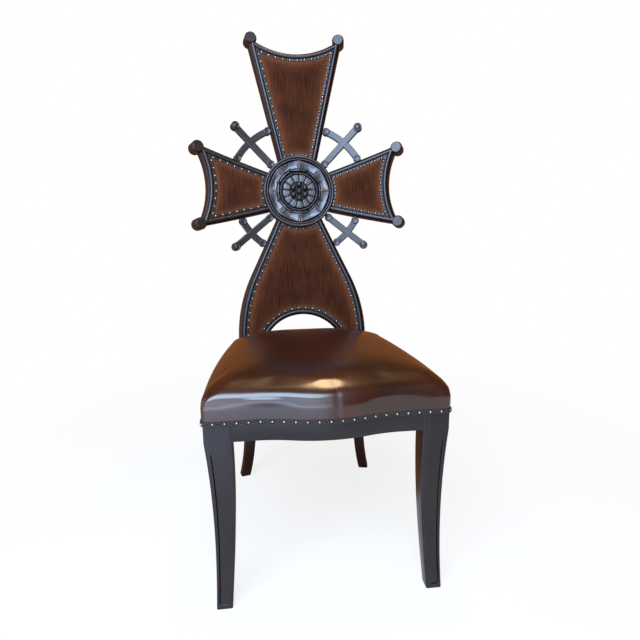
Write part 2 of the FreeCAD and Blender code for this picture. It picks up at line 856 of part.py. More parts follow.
def add_pair(name, right_shape):
    nodes[name + "_right"] = right_shape
    nodes[name + "_left"] = mirrored(right_shape)


def placed(shape):
    copy = shape.copy()
    copy.Placement = back_place.multiply(copy.Placement)
    return copy


def build_back():
    crest, upper_stiles = arm_frame(upper_arm)
    upper_stiles.sort(key=lambda s: s.CenterOfMass.x)
    back = {"crest_rail": crest}
    back["upper_stile_left"], back["upper_stile_right"] = upper_stiles
    end, side_stiles = arm_frame(side_arm)
    side_stiles.sort(key=lambda s: s.CenterOfMass.z)
    for name, piece in zip(("arm_end_rail", "arm_lower_stile", "arm_upper_stile"), [end] + side_stiles):
        back[name + "_right"] = piece
        back[name + "_left"] = mirrored(piece)
    back["hub_block"] = hub_block()
    back["rosette_leaves"] = rosette_leaves()
    back["rosette_daisy"] = rosette_daisy()
    back["rosette_seeds"] = rosette_seeds()
    back["crest_knobs"] = group([knob_at(p) for p in upper_arm.knobs])
    back["arm_knobs_right"] = group([knob_at(p) for p in side_arm.knobs])
    back["arm_knobs_left"] = mirrored(back["arm_knobs_right"])
    return back


def build_rings(back):
    upper_point, upper_direction = upper_arm.edge(1, 0)
    high_point, high_direction = side_arm.edge(1, 0)
    low_point, low_direction = side_arm.edge(0, 0)
    upper_outward = Vector(upper_direction.z, 0, -upper_direction.x)
    high_outward = Vector(-high_direction.z, 0, high_direction.x)
    low_outward = Vector(low_direction.z, 0, -low_direction.x)
    up_boss = boss_centre(upper_point, upper_direction, upper_outward, upper_ring_radius)
    high_boss = boss_centre(high_point, high_direction, high_outward, upper_ring_radius)
    low_boss = boss_centre(low_point, low_direction, low_outward, lower_ring_radius)
    flare_boss = boss_centre(neck_point, flare_down, flare_inward * -1, lower_ring_radius)
    side_body = side_arm.prism(0)
    for place, first, second, ring_radius, knob_reach, body in (
        ("upper", high_boss, up_boss, upper_ring_radius, upper_spindle_reach, upper_arm.prism(0)),
        ("lower", flare_boss, low_boss, lower_ring_radius, lower_spindle_reach, lower_prism(0)),
    ):
        spindle, ring_bar = ring_parts(first, second, ring_radius, knob_reach, [side_body, body])
        back[place + "_spindle_right"] = spindle
        back[place + "_spindle_left"] = mirrored(spindle)
        back[place + "_ring_bar_right"] = ring_bar
        back[place + "_ring_bar_left"] = mirrored(ring_bar)


def build_lower_back():
    """Rear legs with the stiles that grow out of them, and the arched rail between."""
    frame = moulded(lower_prism)
    stile = max(frame.Solids, key=lambda s: s.CenterOfMass.x)
    add_pair("rear_leg", one_solid(seat_clear(placed(stile)).fuse(rear_leg())))

    def arch_disc(inset):
        return disc_prism(arch_centre, arch_radius + inset)

    arch = between(arch_disc(frame_width).cut(arch_disc(0)), 0, frame_thickness)
    bead = arch_disc(bead_inset + bead_width).cut(arch_disc(bead_inset))
    arch = arch.fuse(between(bead, -bead_height, bead_height))
    arch = arch.cut(between(lower_outline(show_width), -reach, rabbet_depth))
    rear = lower_outline(frame_width - panel_lap)
    arch = arch.cut(between(rear, frame_thickness - panel_rabbet, frame_thickness + reach))
    arch = placed(arch.common(lower_prism(frame_width)))
    nodes["arch_rail"] = one_solid(seat_clear(arch))


def build_pads():
    """Upholstery of the four arms."""
    def level(solid):
        return seat_clear(placed(solid))

    strips = []
    for place, outline, stations in (
        ("upper", upper_arm.prism, upper_stations()),
        ("lower", lower_outline, lower_stations()),
        ("right", side_arm.prism, side_stations()),
    ):
        board, foam, velvet, gimp, panel = pad_parts(outline, stations, level)
        strips += gimp.Solids
        if place == "right":
            strips += mirrored(gimp).Solids
        pieces = {"_pad_board": board, "_pad_foam": foam, "_velvet": velvet, "_back_panel": panel}
        for end, piece in pieces.items():
            nodes[place + end] = piece
            if place == "right":
                nodes["left" + end] = mirrored(piece)
    nodes["back_gimp"] = group(strips)


# Seat frame


def front_rail():
    inner_end = half_front - front_leg_top_width
    edges = front_edges(rail_bottom, 0, inner_end)
    back = seat_front + rail_thickness
    right = Vector(inner_end, back, rail_bottom)
    left = Vector(-inner_end, back, rail_bottom)
    edges += [
        line(Vector(-inner_end, seat_front, rail_bottom), left),
        line(left, right),
        line(right, Vector(inner_end, seat_front, rail_bottom)),
    ]
    return Part.Face(Part.Wire(edges)).extrude(Vector(0, 0, rail_height))


def rear_leg_bounds():
    """Space that the right rear leg takes between the rails."""
    slab = box_between(Vector(0, 0, rail_bottom), Vector(half_front, seat_depth, rail_top))
    return nodes["rear_leg_right"].common(slab).optimalBoundingBox(False)


def side_rail():
    """Right side rail on the curve of the seat, from the front leg to the rear leg."""
    start = seat_front + front_leg_top_depth
    end = seat_rear + rail_thickness
    middle = (start + end) / 2

    def at(y, grow):
        return Vector(side_x(y, grow), y, rail_bottom)

    edges = [
        arc(at(start, 0), at(middle, 0), at(end, 0)),
        line(at(end, 0), at(end, -rail_thickness)),
        arc(at(end, -rail_thickness), at(middle, -rail_thickness), at(start, -rail_thickness)),
        line(at(start, -rail_thickness), at(start, 0)),
    ]
    rail = Part.Face(Part.Wire(edges)).extrude(Vector(0, 0, rail_height))
    leg = rear_leg_bounds()
    past_leg = Vector(leg.XMax - side_rail_lap, leg.YMin, 0)
    rail = rail.cut(nodes["rear_leg_right"])
    rail = rail.cut(box_between(past_leg, Vector(seat_depth, seat_depth, hub_height)))
    return max(rail.Solids, key=lambda s: s.Volume)


def rear_rail():
    """Straight rail between the rear legs, under the arch."""
    low = Vector(-half_rear, rear_rail_front, rail_bottom)
    rail = box_between(low, Vector(half_rear, rear_rail_front + rear_rail_thickness, rail_top))
    for side in ("_left", "_right"):
        rail = rail.cut(nodes["rear_leg" + side])
        rail = rail.cut(nodes["side_seat_rail" + side])
    return min(rail.Solids, key=lambda s: abs(s.CenterOfMass.x))


def drill(names, tool):
    for name in names:
        nodes[name] = one_solid(nodes[name].cut(tool))


def build_dowels():
    """Two dowels in each joint of the seat frame, in holes of the same size."""
    middle = rail_bottom + rail_height / 2
    front_y = seat_front + rail_thickness / 2
    leg_inner = half_front - front_leg_top_width
    side_front_y = seat_front + front_leg_top_depth
    side_front_x = side_x(side_front_y, -rail_thickness / 2)
    rear = rear_leg_bounds()
    rear_y = (rear.YMin + rear_rail_front + rear_rail_thickness) / 2
    rail_inner = max(rear.XMin, side_x(rear.YMin, -rail_thickness))
    rail_outer = min(rear.XMax, side_x(rear.YMin, 0))
    side_rear_x = (rail_inner + rail_outer) / 2
    low = middle - dowel_stagger / 2
    high = middle + dowel_stagger / 2
    joints = [
        (Vector(leg_inner, front_y, low), across, "front_leg", "front_seat_rail"),
        (Vector(side_front_x, side_front_y, high), behind, "front_leg", "side_seat_rail"),
        (Vector(rear.XMin, rear_y, low), across, "rear_leg", "rear_seat_rail"),
        (Vector(side_rear_x, rear.YMin, high), behind, "rear_leg", "side_seat_rail"),
    ]
    dowels = []
    for point, direction, leg, rail in joints:
        for shift in (-dowel_spread / 2, dowel_spread / 2):
            start = point + up * shift - direction * (dowel_length / 2)
            dowel = Part.makeCylinder(dowel_radius, dowel_length, start, direction)
            for side, tool in (("_right", dowel), ("_left", mirrored(dowel))):
                rail_name = rail + side if rail.startswith("side") else rail
                drill([leg + side, rail_name], tool)
                dowels.append(tool)
    nodes["rail_dowels"] = group(dowels)


def build_corner_blocks():
    """Glued and screwed blocks inside the four corners of the seat frame."""
    base = rail_bottom + (rail_height - block_height) / 2
    rail_y = seat_front + rail_thickness
    leg_x = half_front - front_leg_top_width
    leg_y = seat_front + front_leg_top_depth
    front_points = [
        Vector(leg_x - block_reach, rail_y, base),
        Vector(leg_x, rail_y, base),
        Vector(leg_x, leg_y, base),
        Vector(side_x(leg_y, -rail_thickness), leg_y, base),
        Vector(side_x(leg_y + block_reach, -rail_thickness), leg_y + block_reach, base),
    ]
    leg_inner = flare_bottom_half() - frame_width
    rear_points = [
        Vector(leg_inner - block_reach, rear_rail_front, base),
        Vector(side_x(rear_rail_front, 0), rear_rail_front, base),
        Vector(side_x(rear_rail_front - block_reach, 0), rear_rail_front - block_reach, base),
        Vector(side_x(rear_rail_front - block_reach, -rail_thickness), rear_rail_front - block_reach, base),
    ]
    blocks = []
    screws = []
    for points, end_rail, sign in ((front_points, "front_seat_rail", 1), (rear_points, "rear_seat_rail", -1)):
        face = Part.Face(Part.makePolygon(points + points[:1]))
        block = face.extrude(Vector(0, 0, block_height))
        for other in ("side_seat_rail_right", end_rail, "front_leg_right", "rear_leg_right"):
            block = block.cut(nodes[other])
        block = max(block.Solids, key=lambda s: s.Volume)
        middle = base + block_height / 2
        end_x = points[0].x + screw_from_end
        side_y = points[-1].y - sign * screw_from_end
        for start, direction, rail in (
            (Vector(end_x, points[0].y, middle), behind * -sign, end_rail),
            (Vector(side_x(side_y, -rail_thickness), side_y, middle), across, "side_seat_rail_right"),
        ):
            head = start - direction * (screw_length - screw_bite)
            cap_start = head - direction * screw_head_height
            shank = Part.makeCylinder(screw_radius, screw_length, head, direction)
            cap = Part.makeCylinder(screw_head_radius, screw_head_height, cap_start, direction)
            screw = shank.fuse(cap).removeSplitter().Solids[0]
            clear = Part.makeCylinder(screw_head_radius, seat_depth, head, direction * -1)
            block = block.cut(screw).cut(clear)
            tools = ((rail, screw), (rail.replace("right", "left"), mirrored(screw)))
            for rail_name, tool in tools:
                drill([rail_name], tool)
                screws.append(tool)
        block = max(block.Solids, key=lambda s: s.Volume)
        blocks += [block, mirrored(block)]
    nodes["corner_blocks"] = group(blocks)
    nodes["corner_screws"] = group(screws)


def build_webbing():
    """Two layers of straps tacked across the top of the seat frame."""
    straps = []
    for k in (-2, -1, 0, 1, 2):
        x = k * strap_pitch_along
        low = Vector(x - strap_width / 2, seat_front + strap_inset, rail_top)
        high = Vector(x + strap_width / 2, seat_rear - strap_inset / 2, rail_top + strap_thickness)
        straps.append(box_between(low, high))
    for k in (-2, -1, 0, 1, 2):
        y = k * strap_pitch
        half = side_x(y + strap_width / 2, -strap_inset)
        low = Vector(-half, y - strap_width / 2, rail_top + strap_thickness)
        high = Vector(half, y + strap_width / 2, rail_top + 2 * strap_thickness)
        straps.append(box_between(low, high))
    nodes["seat_webbing"] = group(straps)


# Seat upholstery: turns along the crown, in degrees from its lower edge
crown_turns = (0, 7, 16, 27, 40, 54, 68, 80)


def crowned_seat(grow, top):
    """Straight skirt beside the rails, and a crown drawn in on a superellipse above them."""
    power = 2 / crown_fullness
    last = math.sin(math.radians(crown_turns[-1])) ** power
    sections = []
    for turn in crown_turns:
        rise = math.sin(math.radians(turn)) ** power / last
        wire = seat_wire(0, grow, rise)
        wire.scale(math.cos(math.radians(turn)) ** power)
        wire.translate(Vector(0, 0, rail_top + rise * (top - rail_top)))
        sections.append(wire)
    crown = Part.makeLoft(sections, True, True)
    return crown.fuse(seat_prism(leather_bottom, rail_top, grow))


def build_seat_upholstery():
    grow = leather_gap + leather_thickness
    top = leather_bottom + crown_height
    deck = rail_top + 2 * strap_thickness
    outer = crowned_seat(grow, top)
    inner = crowned_seat(leather_gap, top - leather_thickness)
    far = 2 * seat_depth
    leather_half = side_x(seat_rear, leather_gap / 2)
    rear_low = Vector(-leather_half, rear_rail_front - leather_gap, 0)
    leather = outer.cut(inner).cut(box_between(rear_low, Vector(leather_half, far, deck)))
    nodes["seat_foam"] = one_solid(inner.cut(box_between(Vector(-far, -far, 0), Vector(far, far, deck))))
    nodes["seat_leather"] = max(leather.Solids, key=lambda s: s.Volume)
    band_inner = grow + band_gap
    low = leather_bottom + band_lift
    band_outer = band_inner + band_thickness
    band = seat_prism(low, low + band_height, band_outer)
    band = band.cut(seat_prism(low, low + band_height, band_inner))
    band = band.cut(box_between(Vector(-far, rear_rail_front, 0), Vector(far, far, far)))
    nodes["seat_trim_band"] = one_solid(band)
    sheet_bottom = rail_bottom - dust_sheet_thickness
    sheet = seat_prism(sheet_bottom, rail_bottom, -dust_sheet_margin)
    flap_half = rear_leg_bounds().XMin - dust_sheet_margin
    flap_end = rear_rail_front + dust_sheet_margin
    flap = box_between(Vector(-flap_half, 0, sheet_bottom), Vector(flap_half, flap_end, rail_bottom))
    sheet = sheet.fuse(flap)
    for leg in ("front_leg", "rear_leg"):
        for side in ("_left", "_right"):
            sheet = sheet.cut(nodes[leg + side])
    nodes["dust_sheet"] = one_solid(sheet)


def build_seat_frame():
    add_pair("front_leg", front_leg())
    nodes["front_seat_rail"] = front_rail()
    add_pair("side_seat_rail", side_rail())
    nodes["rear_seat_rail"] = rear_rail()
    build_dowels()
    build_corner_blocks()
    build_webbing()


if __name__ == "__main__":
    os.makedirs("parts", exist_ok=True)
    back = build_back()
    build_rings(back)
    for name, shape in back.items():
        nodes[name] = placed(shape)
    build_lower_back()
    build_pads()
    build_seat_frame()
    build_seat_upholstery()
    whole = group(list(nodes.values())).optimalBoundingBox(False)
    to_origin = Vector(-(whole.XMin + whole.XMax) / 2, -(whole.YMin + whole.YMax) / 2, -whole.ZMin)
    for name, shape in nodes.items():
        shape.translate(to_origin)
        print(name, len(shape.Solids), shape.isValid(), round(shape.Volume))
        shape.exportStep("parts/" + name + ".step")
    print("box", whole, "moved by", to_origin)
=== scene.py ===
import bmesh
import bpy
import math
from mathutils import Matrix, Vector


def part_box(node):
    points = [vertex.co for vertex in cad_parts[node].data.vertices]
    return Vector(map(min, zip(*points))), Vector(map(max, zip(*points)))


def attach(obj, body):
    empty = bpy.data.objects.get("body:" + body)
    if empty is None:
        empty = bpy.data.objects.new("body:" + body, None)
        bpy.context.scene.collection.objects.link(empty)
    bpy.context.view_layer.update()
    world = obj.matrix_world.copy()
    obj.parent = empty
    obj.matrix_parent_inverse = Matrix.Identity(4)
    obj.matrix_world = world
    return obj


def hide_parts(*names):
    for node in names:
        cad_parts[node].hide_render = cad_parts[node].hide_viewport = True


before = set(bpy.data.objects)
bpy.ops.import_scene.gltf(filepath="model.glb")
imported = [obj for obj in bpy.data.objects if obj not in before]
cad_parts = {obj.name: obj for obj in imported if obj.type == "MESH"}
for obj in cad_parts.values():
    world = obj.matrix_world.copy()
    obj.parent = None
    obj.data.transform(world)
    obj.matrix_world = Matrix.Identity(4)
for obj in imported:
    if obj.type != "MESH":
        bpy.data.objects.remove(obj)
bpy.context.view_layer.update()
mm = 0.001  # sizes are in millimetres, meshes in metres
sides = ((-1, "left"), (1, "right"))
sharpness = dict(frame=32, hub=40, carved=60, cloth=180)  # an edge with a greater angle shows as an edge
print("frame loaded:", len(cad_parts), "nodes")


# Small helpers

def linear(hexCode):
    parts = [int(hexCode[i:i + 2], 16) / 255 for i in (1, 3, 5)]
    lin = [p / 12.92 if p <= 0.04045 else ((p + 0.055) / 1.055) ** 2.4 for p in parts]
    return (*lin, 1.0)


def perSize(size):
    # Texture scale for features of this size
    return 1 / (size * mm)


def evenly(a, b, steps):
    return [a + (b - a) * k / steps for k in range(steps + 1)]


def straight(a, b, steps):
    return [a.lerp(b, k / steps) for k in range(steps + 1)]


def spoke(turn):
    return Vector((math.cos(turn), math.sin(turn)))


def mirrored(points):
    return [Vector((-p.x, p.y)) for p in points]


def runs(points):
    # Distance along a line from its first point to each point
    made = [0.0]
    for a, b in zip(points, points[1:]):
        made.append(made[-1] + (b - a).length)
    return made


def setInputs(tree, node, inputs):
    # A node given as a value stands for its first live output, a hex code for its colour
    for key, value in inputs.items():
        if isinstance(value, str) and value.startswith("#"):
            value = linear(value)
        if isinstance(value, bpy.types.Node):
            value = next(socket for socket in value.outputs if socket.enabled)
        if isinstance(value, bpy.types.NodeSocket):
            tree.links.new(value, node.inputs[key])
        else:
            node.inputs[key].default_value = value


def addNode(tree, kind, inputs=None, **settings):
    node = tree.nodes.new(kind)
    for key, value in settings.items():
        setattr(node, key, value)
    setInputs(tree, node, inputs or {})
    return node


def newMaterial(name):
    material = bpy.data.materials.new(name)
    material.use_nodes = True
    tree = material.node_tree
    return material, tree, addNode(tree, "ShaderNodeTexCoord").outputs["Object"]


def surfaced(material, values):
    tree = material.node_tree
    setInputs(tree, tree.nodes["Principled BSDF"], values)
    return material


def linked(name, data):
    made = bpy.data.objects.new(name, data)
    bpy.context.scene.collection.objects.link(made)
    return made


def newShell():
    bm = bmesh.new()
    return bm, bm.loops.layers.uv.new("grain"), bm.verts.layers.float.new("recess")


def loft(rings, closed=False, recess=None):
    # Skin through equal closed rings of points in mm, with a UV that runs along the grain
    bm, uv, deep = newShell()
    rows = [[bm.verts.new(p * mm) for p in ring] for ring in rings]
    for i, row in enumerate(rows):
        for j, vert in enumerate(row):
            vert[deep] = recess(i, j) if recess else 0.0
    order = rings + rings[:1] if closed else rings
    along = runs([sum(ring, Vector()) / len(ring) for ring in order])
    across = runs(rings[0] + rings[0][:1])
    count = len(rings[0])
    for i in range(len(order) - 1):
        low, high = rows[i], rows[(i + 1) % len(rows)]
        for j in range(count):
            k = (j + 1) % count
            face = bm.faces.new((low[j], low[k], high[k], high[j]))
            for corner, (m, n) in zip(face.loops, ((i, j), (i, j + 1), (i + 1, j + 1), (i + 1, j))):
                corner[uv].uv = (along[m] * mm, across[n] * mm)
    if not closed:
        bm.faces.new(rows[0])
        bm.faces.new(rows[-1])
    return bm


def lathe(profile, place, segments=56):
    # Turned form: (radius, depth) from the front centre to the rear centre, a third value is the recess
    bm, uv, deep = newShell()
    rows = []
    for radius, depth, *recess in profile:
        count = segments if radius > 0 else 1
        row = []
        for k in range(count):
            p = spoke(2 * math.pi * k / count) * radius
            row.append(bm.verts.new(place(p.x, p.y, depth) * mm))
            row[-1][deep] = recess[0] if recess else 0.0
        rows.append(row)
    for a, b in zip(rows, rows[1:]):
        for k in range(segments):
            m = (k + 1) % segments
            ring = [a[k % len(a)], a[m % len(a)], b[m % len(b)], b[k % len(b)]]
            face = bm.faces.new(list(dict.fromkeys(ring)))
            for corner in face.loops:
                corner[uv].uv = (corner.vert.co.x, corner.vert.co.z + corner.vert.co.y)
    return bm


def makePiece(name, shells, material, sharp="frame", nodes=None):
    # Joins shells to one piece, which stands for the CAD node of the same name unless others are given
    whole = bmesh.new()
    for shell in shells:
        part = bpy.data.meshes.new("shell")
        shell.to_mesh(part)
        shell.free()
        whole.from_mesh(part)
        bpy.data.meshes.remove(part)
    bmesh.ops.recalc_face_normals(whole, faces=whole.faces)
    for face in whole.faces:
        face.smooth = True
    for edge in whole.edges:
        edge.smooth = edge.calc_face_angle(0) < math.radians(sharpness[sharp])
    mesh = bpy.data.meshes.new(name)
    whole.to_mesh(mesh)
    whole.free()
    mesh.materials.append(material)
    piece = linked(name, mesh)
    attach(piece, "root")
    if nodes is None:
        nodes = ["".join("_" + c.lower() if c.isupper() else c for c in name)]
    if nodes:
        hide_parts(*nodes)
    return piece


def woodPiece(name, shells, sharp="frame"):
    makePiece(name, shells, woodFinish, sharp)


# Materials

def darkStainedWood():
    # Hardwood stained near black and rubbed to a satin: long faint grain and a soft grey shine with a painted
    # cool tint, painted shade where the recess is 1 (near black, dull shine), brighter shine below 0, part
    # wear, part painted highlight
    look = dict(grainLength=70.0, grainWidth=1.6, mottle=45.0, dark="#120d0b", brown="#291b15", wax="#060404",
                wearAndSheen=1.1, dull=0.1, shine="#eff3ff")
    material, tree, spot = newMaterial("darkStainedWood")
    place = addNode(tree, "ShaderNodeUVMap", uv_map="grain")
    stretch = (perSize(look["grainLength"]), perSize(look["grainWidth"]), 1.0)
    along = addNode(tree, "ShaderNodeMapping", {"Vector": place, "Scale": stretch})
    grain = addNode(tree, "ShaderNodeTexNoise",
                    {"Vector": along, "Scale": 1.0, "Detail": 5.0, "Roughness": 0.6})
    cloud = addNode(tree, "ShaderNodeTexNoise",
                    {"Vector": spot, "Scale": perSize(look["mottle"]), "Detail": 3.0})
    both = addNode(tree, "ShaderNodeMath", {0: grain, 1: cloud}, operation="MULTIPLY")
    share = addNode(tree, "ShaderNodeMapRange", {"Value": both, "From Min": 0.12, "From Max": 0.42})
    tint = addNode(tree, "ShaderNodeMix", {0: share, 6: look["dark"], 7: look["brown"]}, data_type="RGBA")
    # Painted shade mask: near black colour and a dull shine in recesses, a brighter shine on raised carving
    wax = addNode(tree, "ShaderNodeAttribute", attribute_name="recess").outputs["Fac"]
    shine = {"Value": wax, "From Min": -1.0, "To Min": look["wearAndSheen"], "To Max": look["dull"]}
    return surfaced(material, {
        "Base Color": addNode(tree, "ShaderNodeMix", {0: wax, 6: tint, 7: look["wax"]}, data_type="RGBA"),
        "Specular IOR Level": addNode(tree, "ShaderNodeMapRange", shine),
        # The cool tint of the shine is painted, standing in for bluish light
        "Specular Tint": look["shine"],
        "Roughness": addNode(tree, "ShaderNodeMapRange", {"Value": grain, "To Min": 0.28, "To Max": 0.44}),
        "Normal": addNode(tree, "ShaderNodeBump", {"Height": grain, "Strength": 0.12, "Distance": 0.0004}),
    })


def cottonVelvet():
    # Short cut pile brushed downwards: streaks along the nap, and a painted sheen that pales the colour
    # towards the edges of each pad.
    # Real tufts are finer than a pixel, so the streaks are drawn wider.
    look = dict(streakLength=40.0, streakWidth=1.4, patch=60.0, dark="#200c05", light="#4e2715",
                edge="#7a462a", sheen="#b98a6a")
    material, tree, spot = newMaterial("cottonVelvet")
    stretch = [perSize(look["streak" + way]) for way in ("Width", "Length", "Length")]
    nap = addNode(tree, "ShaderNodeMapping", {"Vector": spot, "Scale": stretch})
    streak = addNode(tree, "ShaderNodeTexNoise",
                     {"Vector": nap, "Scale": 1.0, "Detail": 6.0, "Roughness": 0.65})
    patch = addNode(tree, "ShaderNodeTexNoise",
                    {"Vector": spot, "Scale": perSize(look["patch"]), "Detail": 2.0})
    both = addNode(tree, "ShaderNodeMix", {0: 0.25, 2: streak, 3: patch})
    share = addNode(tree, "ShaderNodeMapRange", {"Value": both, "From Min": 0.36, "From Max": 0.66})
    tint = addNode(tree, "ShaderNodeMix", {0: share, 6: look["dark"], 7: look["light"]}, data_type="RGBA")
    # Painted sheen: the colour pales to the edge colour near the pad edges
    bent = addNode(tree, "ShaderNodeAttribute", attribute_name="bent").outputs["Fac"]
    edge = addNode(tree, "ShaderNodeMath", {0: bent, 1: streak}, operation="MULTIPLY")
    return surfaced(material, {
        "Base Color": addNode(tree, "ShaderNodeMix", {0: edge, 6: tint, 7: look["edge"]}, data_type="RGBA"),
        "Roughness": 0.95, "Specular IOR Level": 0.1,
        "Sheen Weight": 0.18, "Sheen Roughness": 0.35, "Sheen Tint": look["sheen"],
        "Normal": addNode(tree, "ShaderNodeBump", {"Height": streak, "Strength": 0.4, "Distance": 0.0012}),
    })


def agedLeather():
    # Full-grain hide with a waxed, worn finish: deep brown, redder where it is rubbed, glossy on the rolls,
    # one soft fold near the middle of the front. The pebble is drawn coarser than real grain, to show.
    look = dict(pebble=2.4, cloud=140.0, crease=55.0, dark="#160703", red="#361207", foldPlace=13.0,
                foldHalf=11.0, foldRear=-300.0, foldFront=-330.0)
    material, tree, spot = newMaterial("agedLeather")
    cloud = addNode(tree, "ShaderNodeTexNoise",
                    {"Vector": spot, "Scale": perSize(look["cloud"]), "Detail": 5.0, "Roughness": 0.62})
    share = addNode(tree, "ShaderNodeMapRange", {"Value": cloud, "From Min": 0.36, "From Max": 0.68})
    dye = {0: share, 6: look["dark"], 7: look["red"]}
    pebble = addNode(tree, "ShaderNodeTexVoronoi", {"Vector": spot, "Scale": perSize(look["pebble"])},
                     feature="SMOOTH_F1")
    crease = addNode(tree, "ShaderNodeTexNoise",
                     {"Vector": spot, "Scale": perSize(look["crease"]), "Detail": 3.0, "Distortion": 0.6})
    fine = addNode(tree, "ShaderNodeBump", {"Height": pebble, "Strength": 0.10, "Distance": 0.0005})
    broad = addNode(tree, "ShaderNodeBump",
                    {"Height": crease, "Strength": 0.09, "Distance": 0.004, "Normal": fine})
    axes = addNode(tree, "ShaderNodeSeparateXYZ", {"Vector": spot}).outputs
    aside = addNode(tree, "ShaderNodeMath", {0: axes["X"], 1: look["foldPlace"] * mm}, operation="SUBTRACT")
    away = addNode(tree, "ShaderNodeMath", {0: aside}, operation="ABSOLUTE")
    groove = addNode(tree, "ShaderNodeMapRange", {"Value": away, "From Max": look["foldHalf"] * mm},
                     interpolation_type="SMOOTHSTEP")
    reach = addNode(tree, "ShaderNodeMapRange", {"Value": axes["Y"], "From Min": look["foldRear"] * mm,
                                                 "From Max": look["foldFront"] * mm})
    fold = {"Height": groove, "Strength": reach, "Distance": 0.0013, "Normal": broad}
    return surfaced(material, {
        "Base Color": addNode(tree, "ShaderNodeMix", dye, data_type="RGBA"),
        "Roughness": addNode(tree, "ShaderNodeMapRange", {"Value": cloud, "To Min": 0.28, "To Max": 0.4}),
        "Specular IOR Level": 0.25, "Coat Weight": 1.0, "Coat Roughness": 0.2,
        "Normal": addNode(tree, "ShaderNodeBump", fold),
    })


def wovenTrim(name, thread, dark, light):
    # Woven upholstery cloth: a tight over-and-under of yarn, matt, darker between the threads,
    # with the threads as thick as they need to be to show
    material, tree, spot = newMaterial(name)
    cell = addNode(tree, "ShaderNodeTexVoronoi",
                   {"Vector": spot, "Scale": perSize(thread), "Randomness": 0.35}, distance="CHEBYCHEV")
    share = addNode(tree, "ShaderNodeMapRange", {"Value": cell, "From Min": 0.15, "From Max": 0.6})
    relief = {"Height": share, "Strength": 0.5, "Distance": 0.0006}
    return surfaced(material, {
        "Base Color": addNode(tree, "ShaderNodeMix", {0: share, 6: light, 7: dark}, data_type="RGBA"),
        "Roughness": 0.8, "Sheen Weight": 0.2, "Specular IOR Level": 0.25,
        "Normal": addNode(tree, "ShaderNodeBump", relief, invert=True),
    })


def antiqueMetal(name, bright, dull, patch=6.0):
    # Plated steel gone dull in the hollows: bright rubbed tops, brownish tarnish in patches
    material, tree, spot = newMaterial(name)
    tarnish = addNode(tree, "ShaderNodeTexNoise", {"Vector": spot, "Scale": perSize(patch), "Detail": 4.0})
    return surfaced(material, {
        "Base Color": addNode(tree, "ShaderNodeMix", {0: tarnish, 6: bright, 7: dull}, data_type="RGBA"),
        "Metallic": 1.0,
        "Roughness": addNode(tree, "ShaderNodeMapRange", {"Value": tarnish, "To Min": 0.2, "To Max": 0.45}),
    })


def plainWood(name, early, late, ring=9.0):
    # Sawn frame timber inside the upholstery: soft rings, matt
    material, tree, spot = newMaterial(name)
    rings = addNode(tree, "ShaderNodeTexNoise",
                    {"Vector": spot, "Scale": perSize(ring), "Detail": 4.0, "Distortion": 1.5})
    return surfaced(material, {
        "Base Color": addNode(tree, "ShaderNodeMix", {0: rings, 6: early, 7: late}, data_type="RGBA"),
        "Roughness": 0.72,
    })


woodFinish = darkStainedWood()
velvetFinish = cottonVelvet()
leatherFinish = agedLeather()
gimpFinish = wovenTrim("wovenGimp", 1.6, "#120d0b", "#3f342d")
bandFinish = wovenTrim("leatherBand", 2.2, "#0f0b0a", "#2b211d")
backClothFinish = wovenTrim("wovenBackCloth", 1.8, "#2a1a11", "#5a3a26")
dustClothFinish = wovenTrim("blackCambric", 1.4, "#0c0c0d", "#26262a")
webbingFinish = wovenTrim("juteWebbing", 2.6, "#5b4527", "#a5885a")
nailFinish = antiqueMetal("antiqueNickel", "#d2c8bd", "#786859")
linkFinish = antiqueMetal("gunmetalWire", "#77716e", "#332e2b")
screwFinish = antiqueMetal("zincSteel", "#b9bcc0", "#7e7f80")
frameTimber = plainWood("beechTimber", "#b58d63", "#8c6742")
darkTimber = plainWood("stainedTimber", "#2a1d17", "#150f0d")
print("materials made")


# Curved, leaning back: flat drawings (u across, v up from the rosette's middle) are bent on to it

backForm = dict(radius=700.0, lean=8.6, hubHeight=854.0, setback=93.5, railCover=6.0, thick=34.0)
seatPlan = dict(widthFront=496.0, widthRear=378.0, depth=507.0, bowDepth=20.0, bowHalf=150.0, crownBow=13.0)
railForm = dict(bottom=356.0, top=430.0, thick=26.0, leather=392.0, ease=2.0, gap=0.5, lap=1.0, past=3.0)
lean = math.radians(backForm["lean"])
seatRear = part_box("rear_seat_rail")[0].y / mm + backForm["railCover"]
seatFront = seatRear - seatPlan["depth"]
planMiddle = (seatFront + seatRear) / 2
hubPoint = Vector((0, seatRear + backForm["setback"], backForm["hubHeight"]))


def leaned(x, y, z):
    c, s = math.cos(lean), math.sin(lean)
    return hubPoint + Vector((x, y * c + z * s, z * c - y * s))


def onHub(x, y, depth):
    return leaned(x, depth, y)


def onBack(u, v, depth):
    turn = math.asin(u / backForm["radius"])
    reach = backForm["radius"] + depth
    return leaned(reach * math.sin(turn), reach * math.cos(turn) - backForm["radius"], v)


def facing(u):
    turn = math.asin(u / backForm["radius"])
    return Vector((-math.sin(turn), -math.cos(turn) * math.cos(lean), math.cos(turn) * math.sin(lean)))


def squareTo(u, v):
    # Local frame of a stud that stands square to the curved back
    turn = math.asin(u / backForm["radius"])
    middle = onBack(u, v, 0)
    right = Vector((math.cos(turn), -math.sin(turn) * math.cos(lean), math.sin(turn) * math.sin(lean)))
    above = Vector((0, math.sin(lean), math.cos(lean)))
    behind = facing(u) * -1
    return lambda x, y, depth: middle + right * x + above * y + behind * depth


def crossing(point, direction, centre, radius, far):
    start = point - centre
    along = start.dot(direction)
    root = math.sqrt(along * along - start.dot(start) + radius * radius)
    return point + direction * (root - along if far else -root - along)


def turnFrom(axis, vector):
    return math.atan2(axis.x * vector.y - axis.y * vector.x, axis.dot(vector))


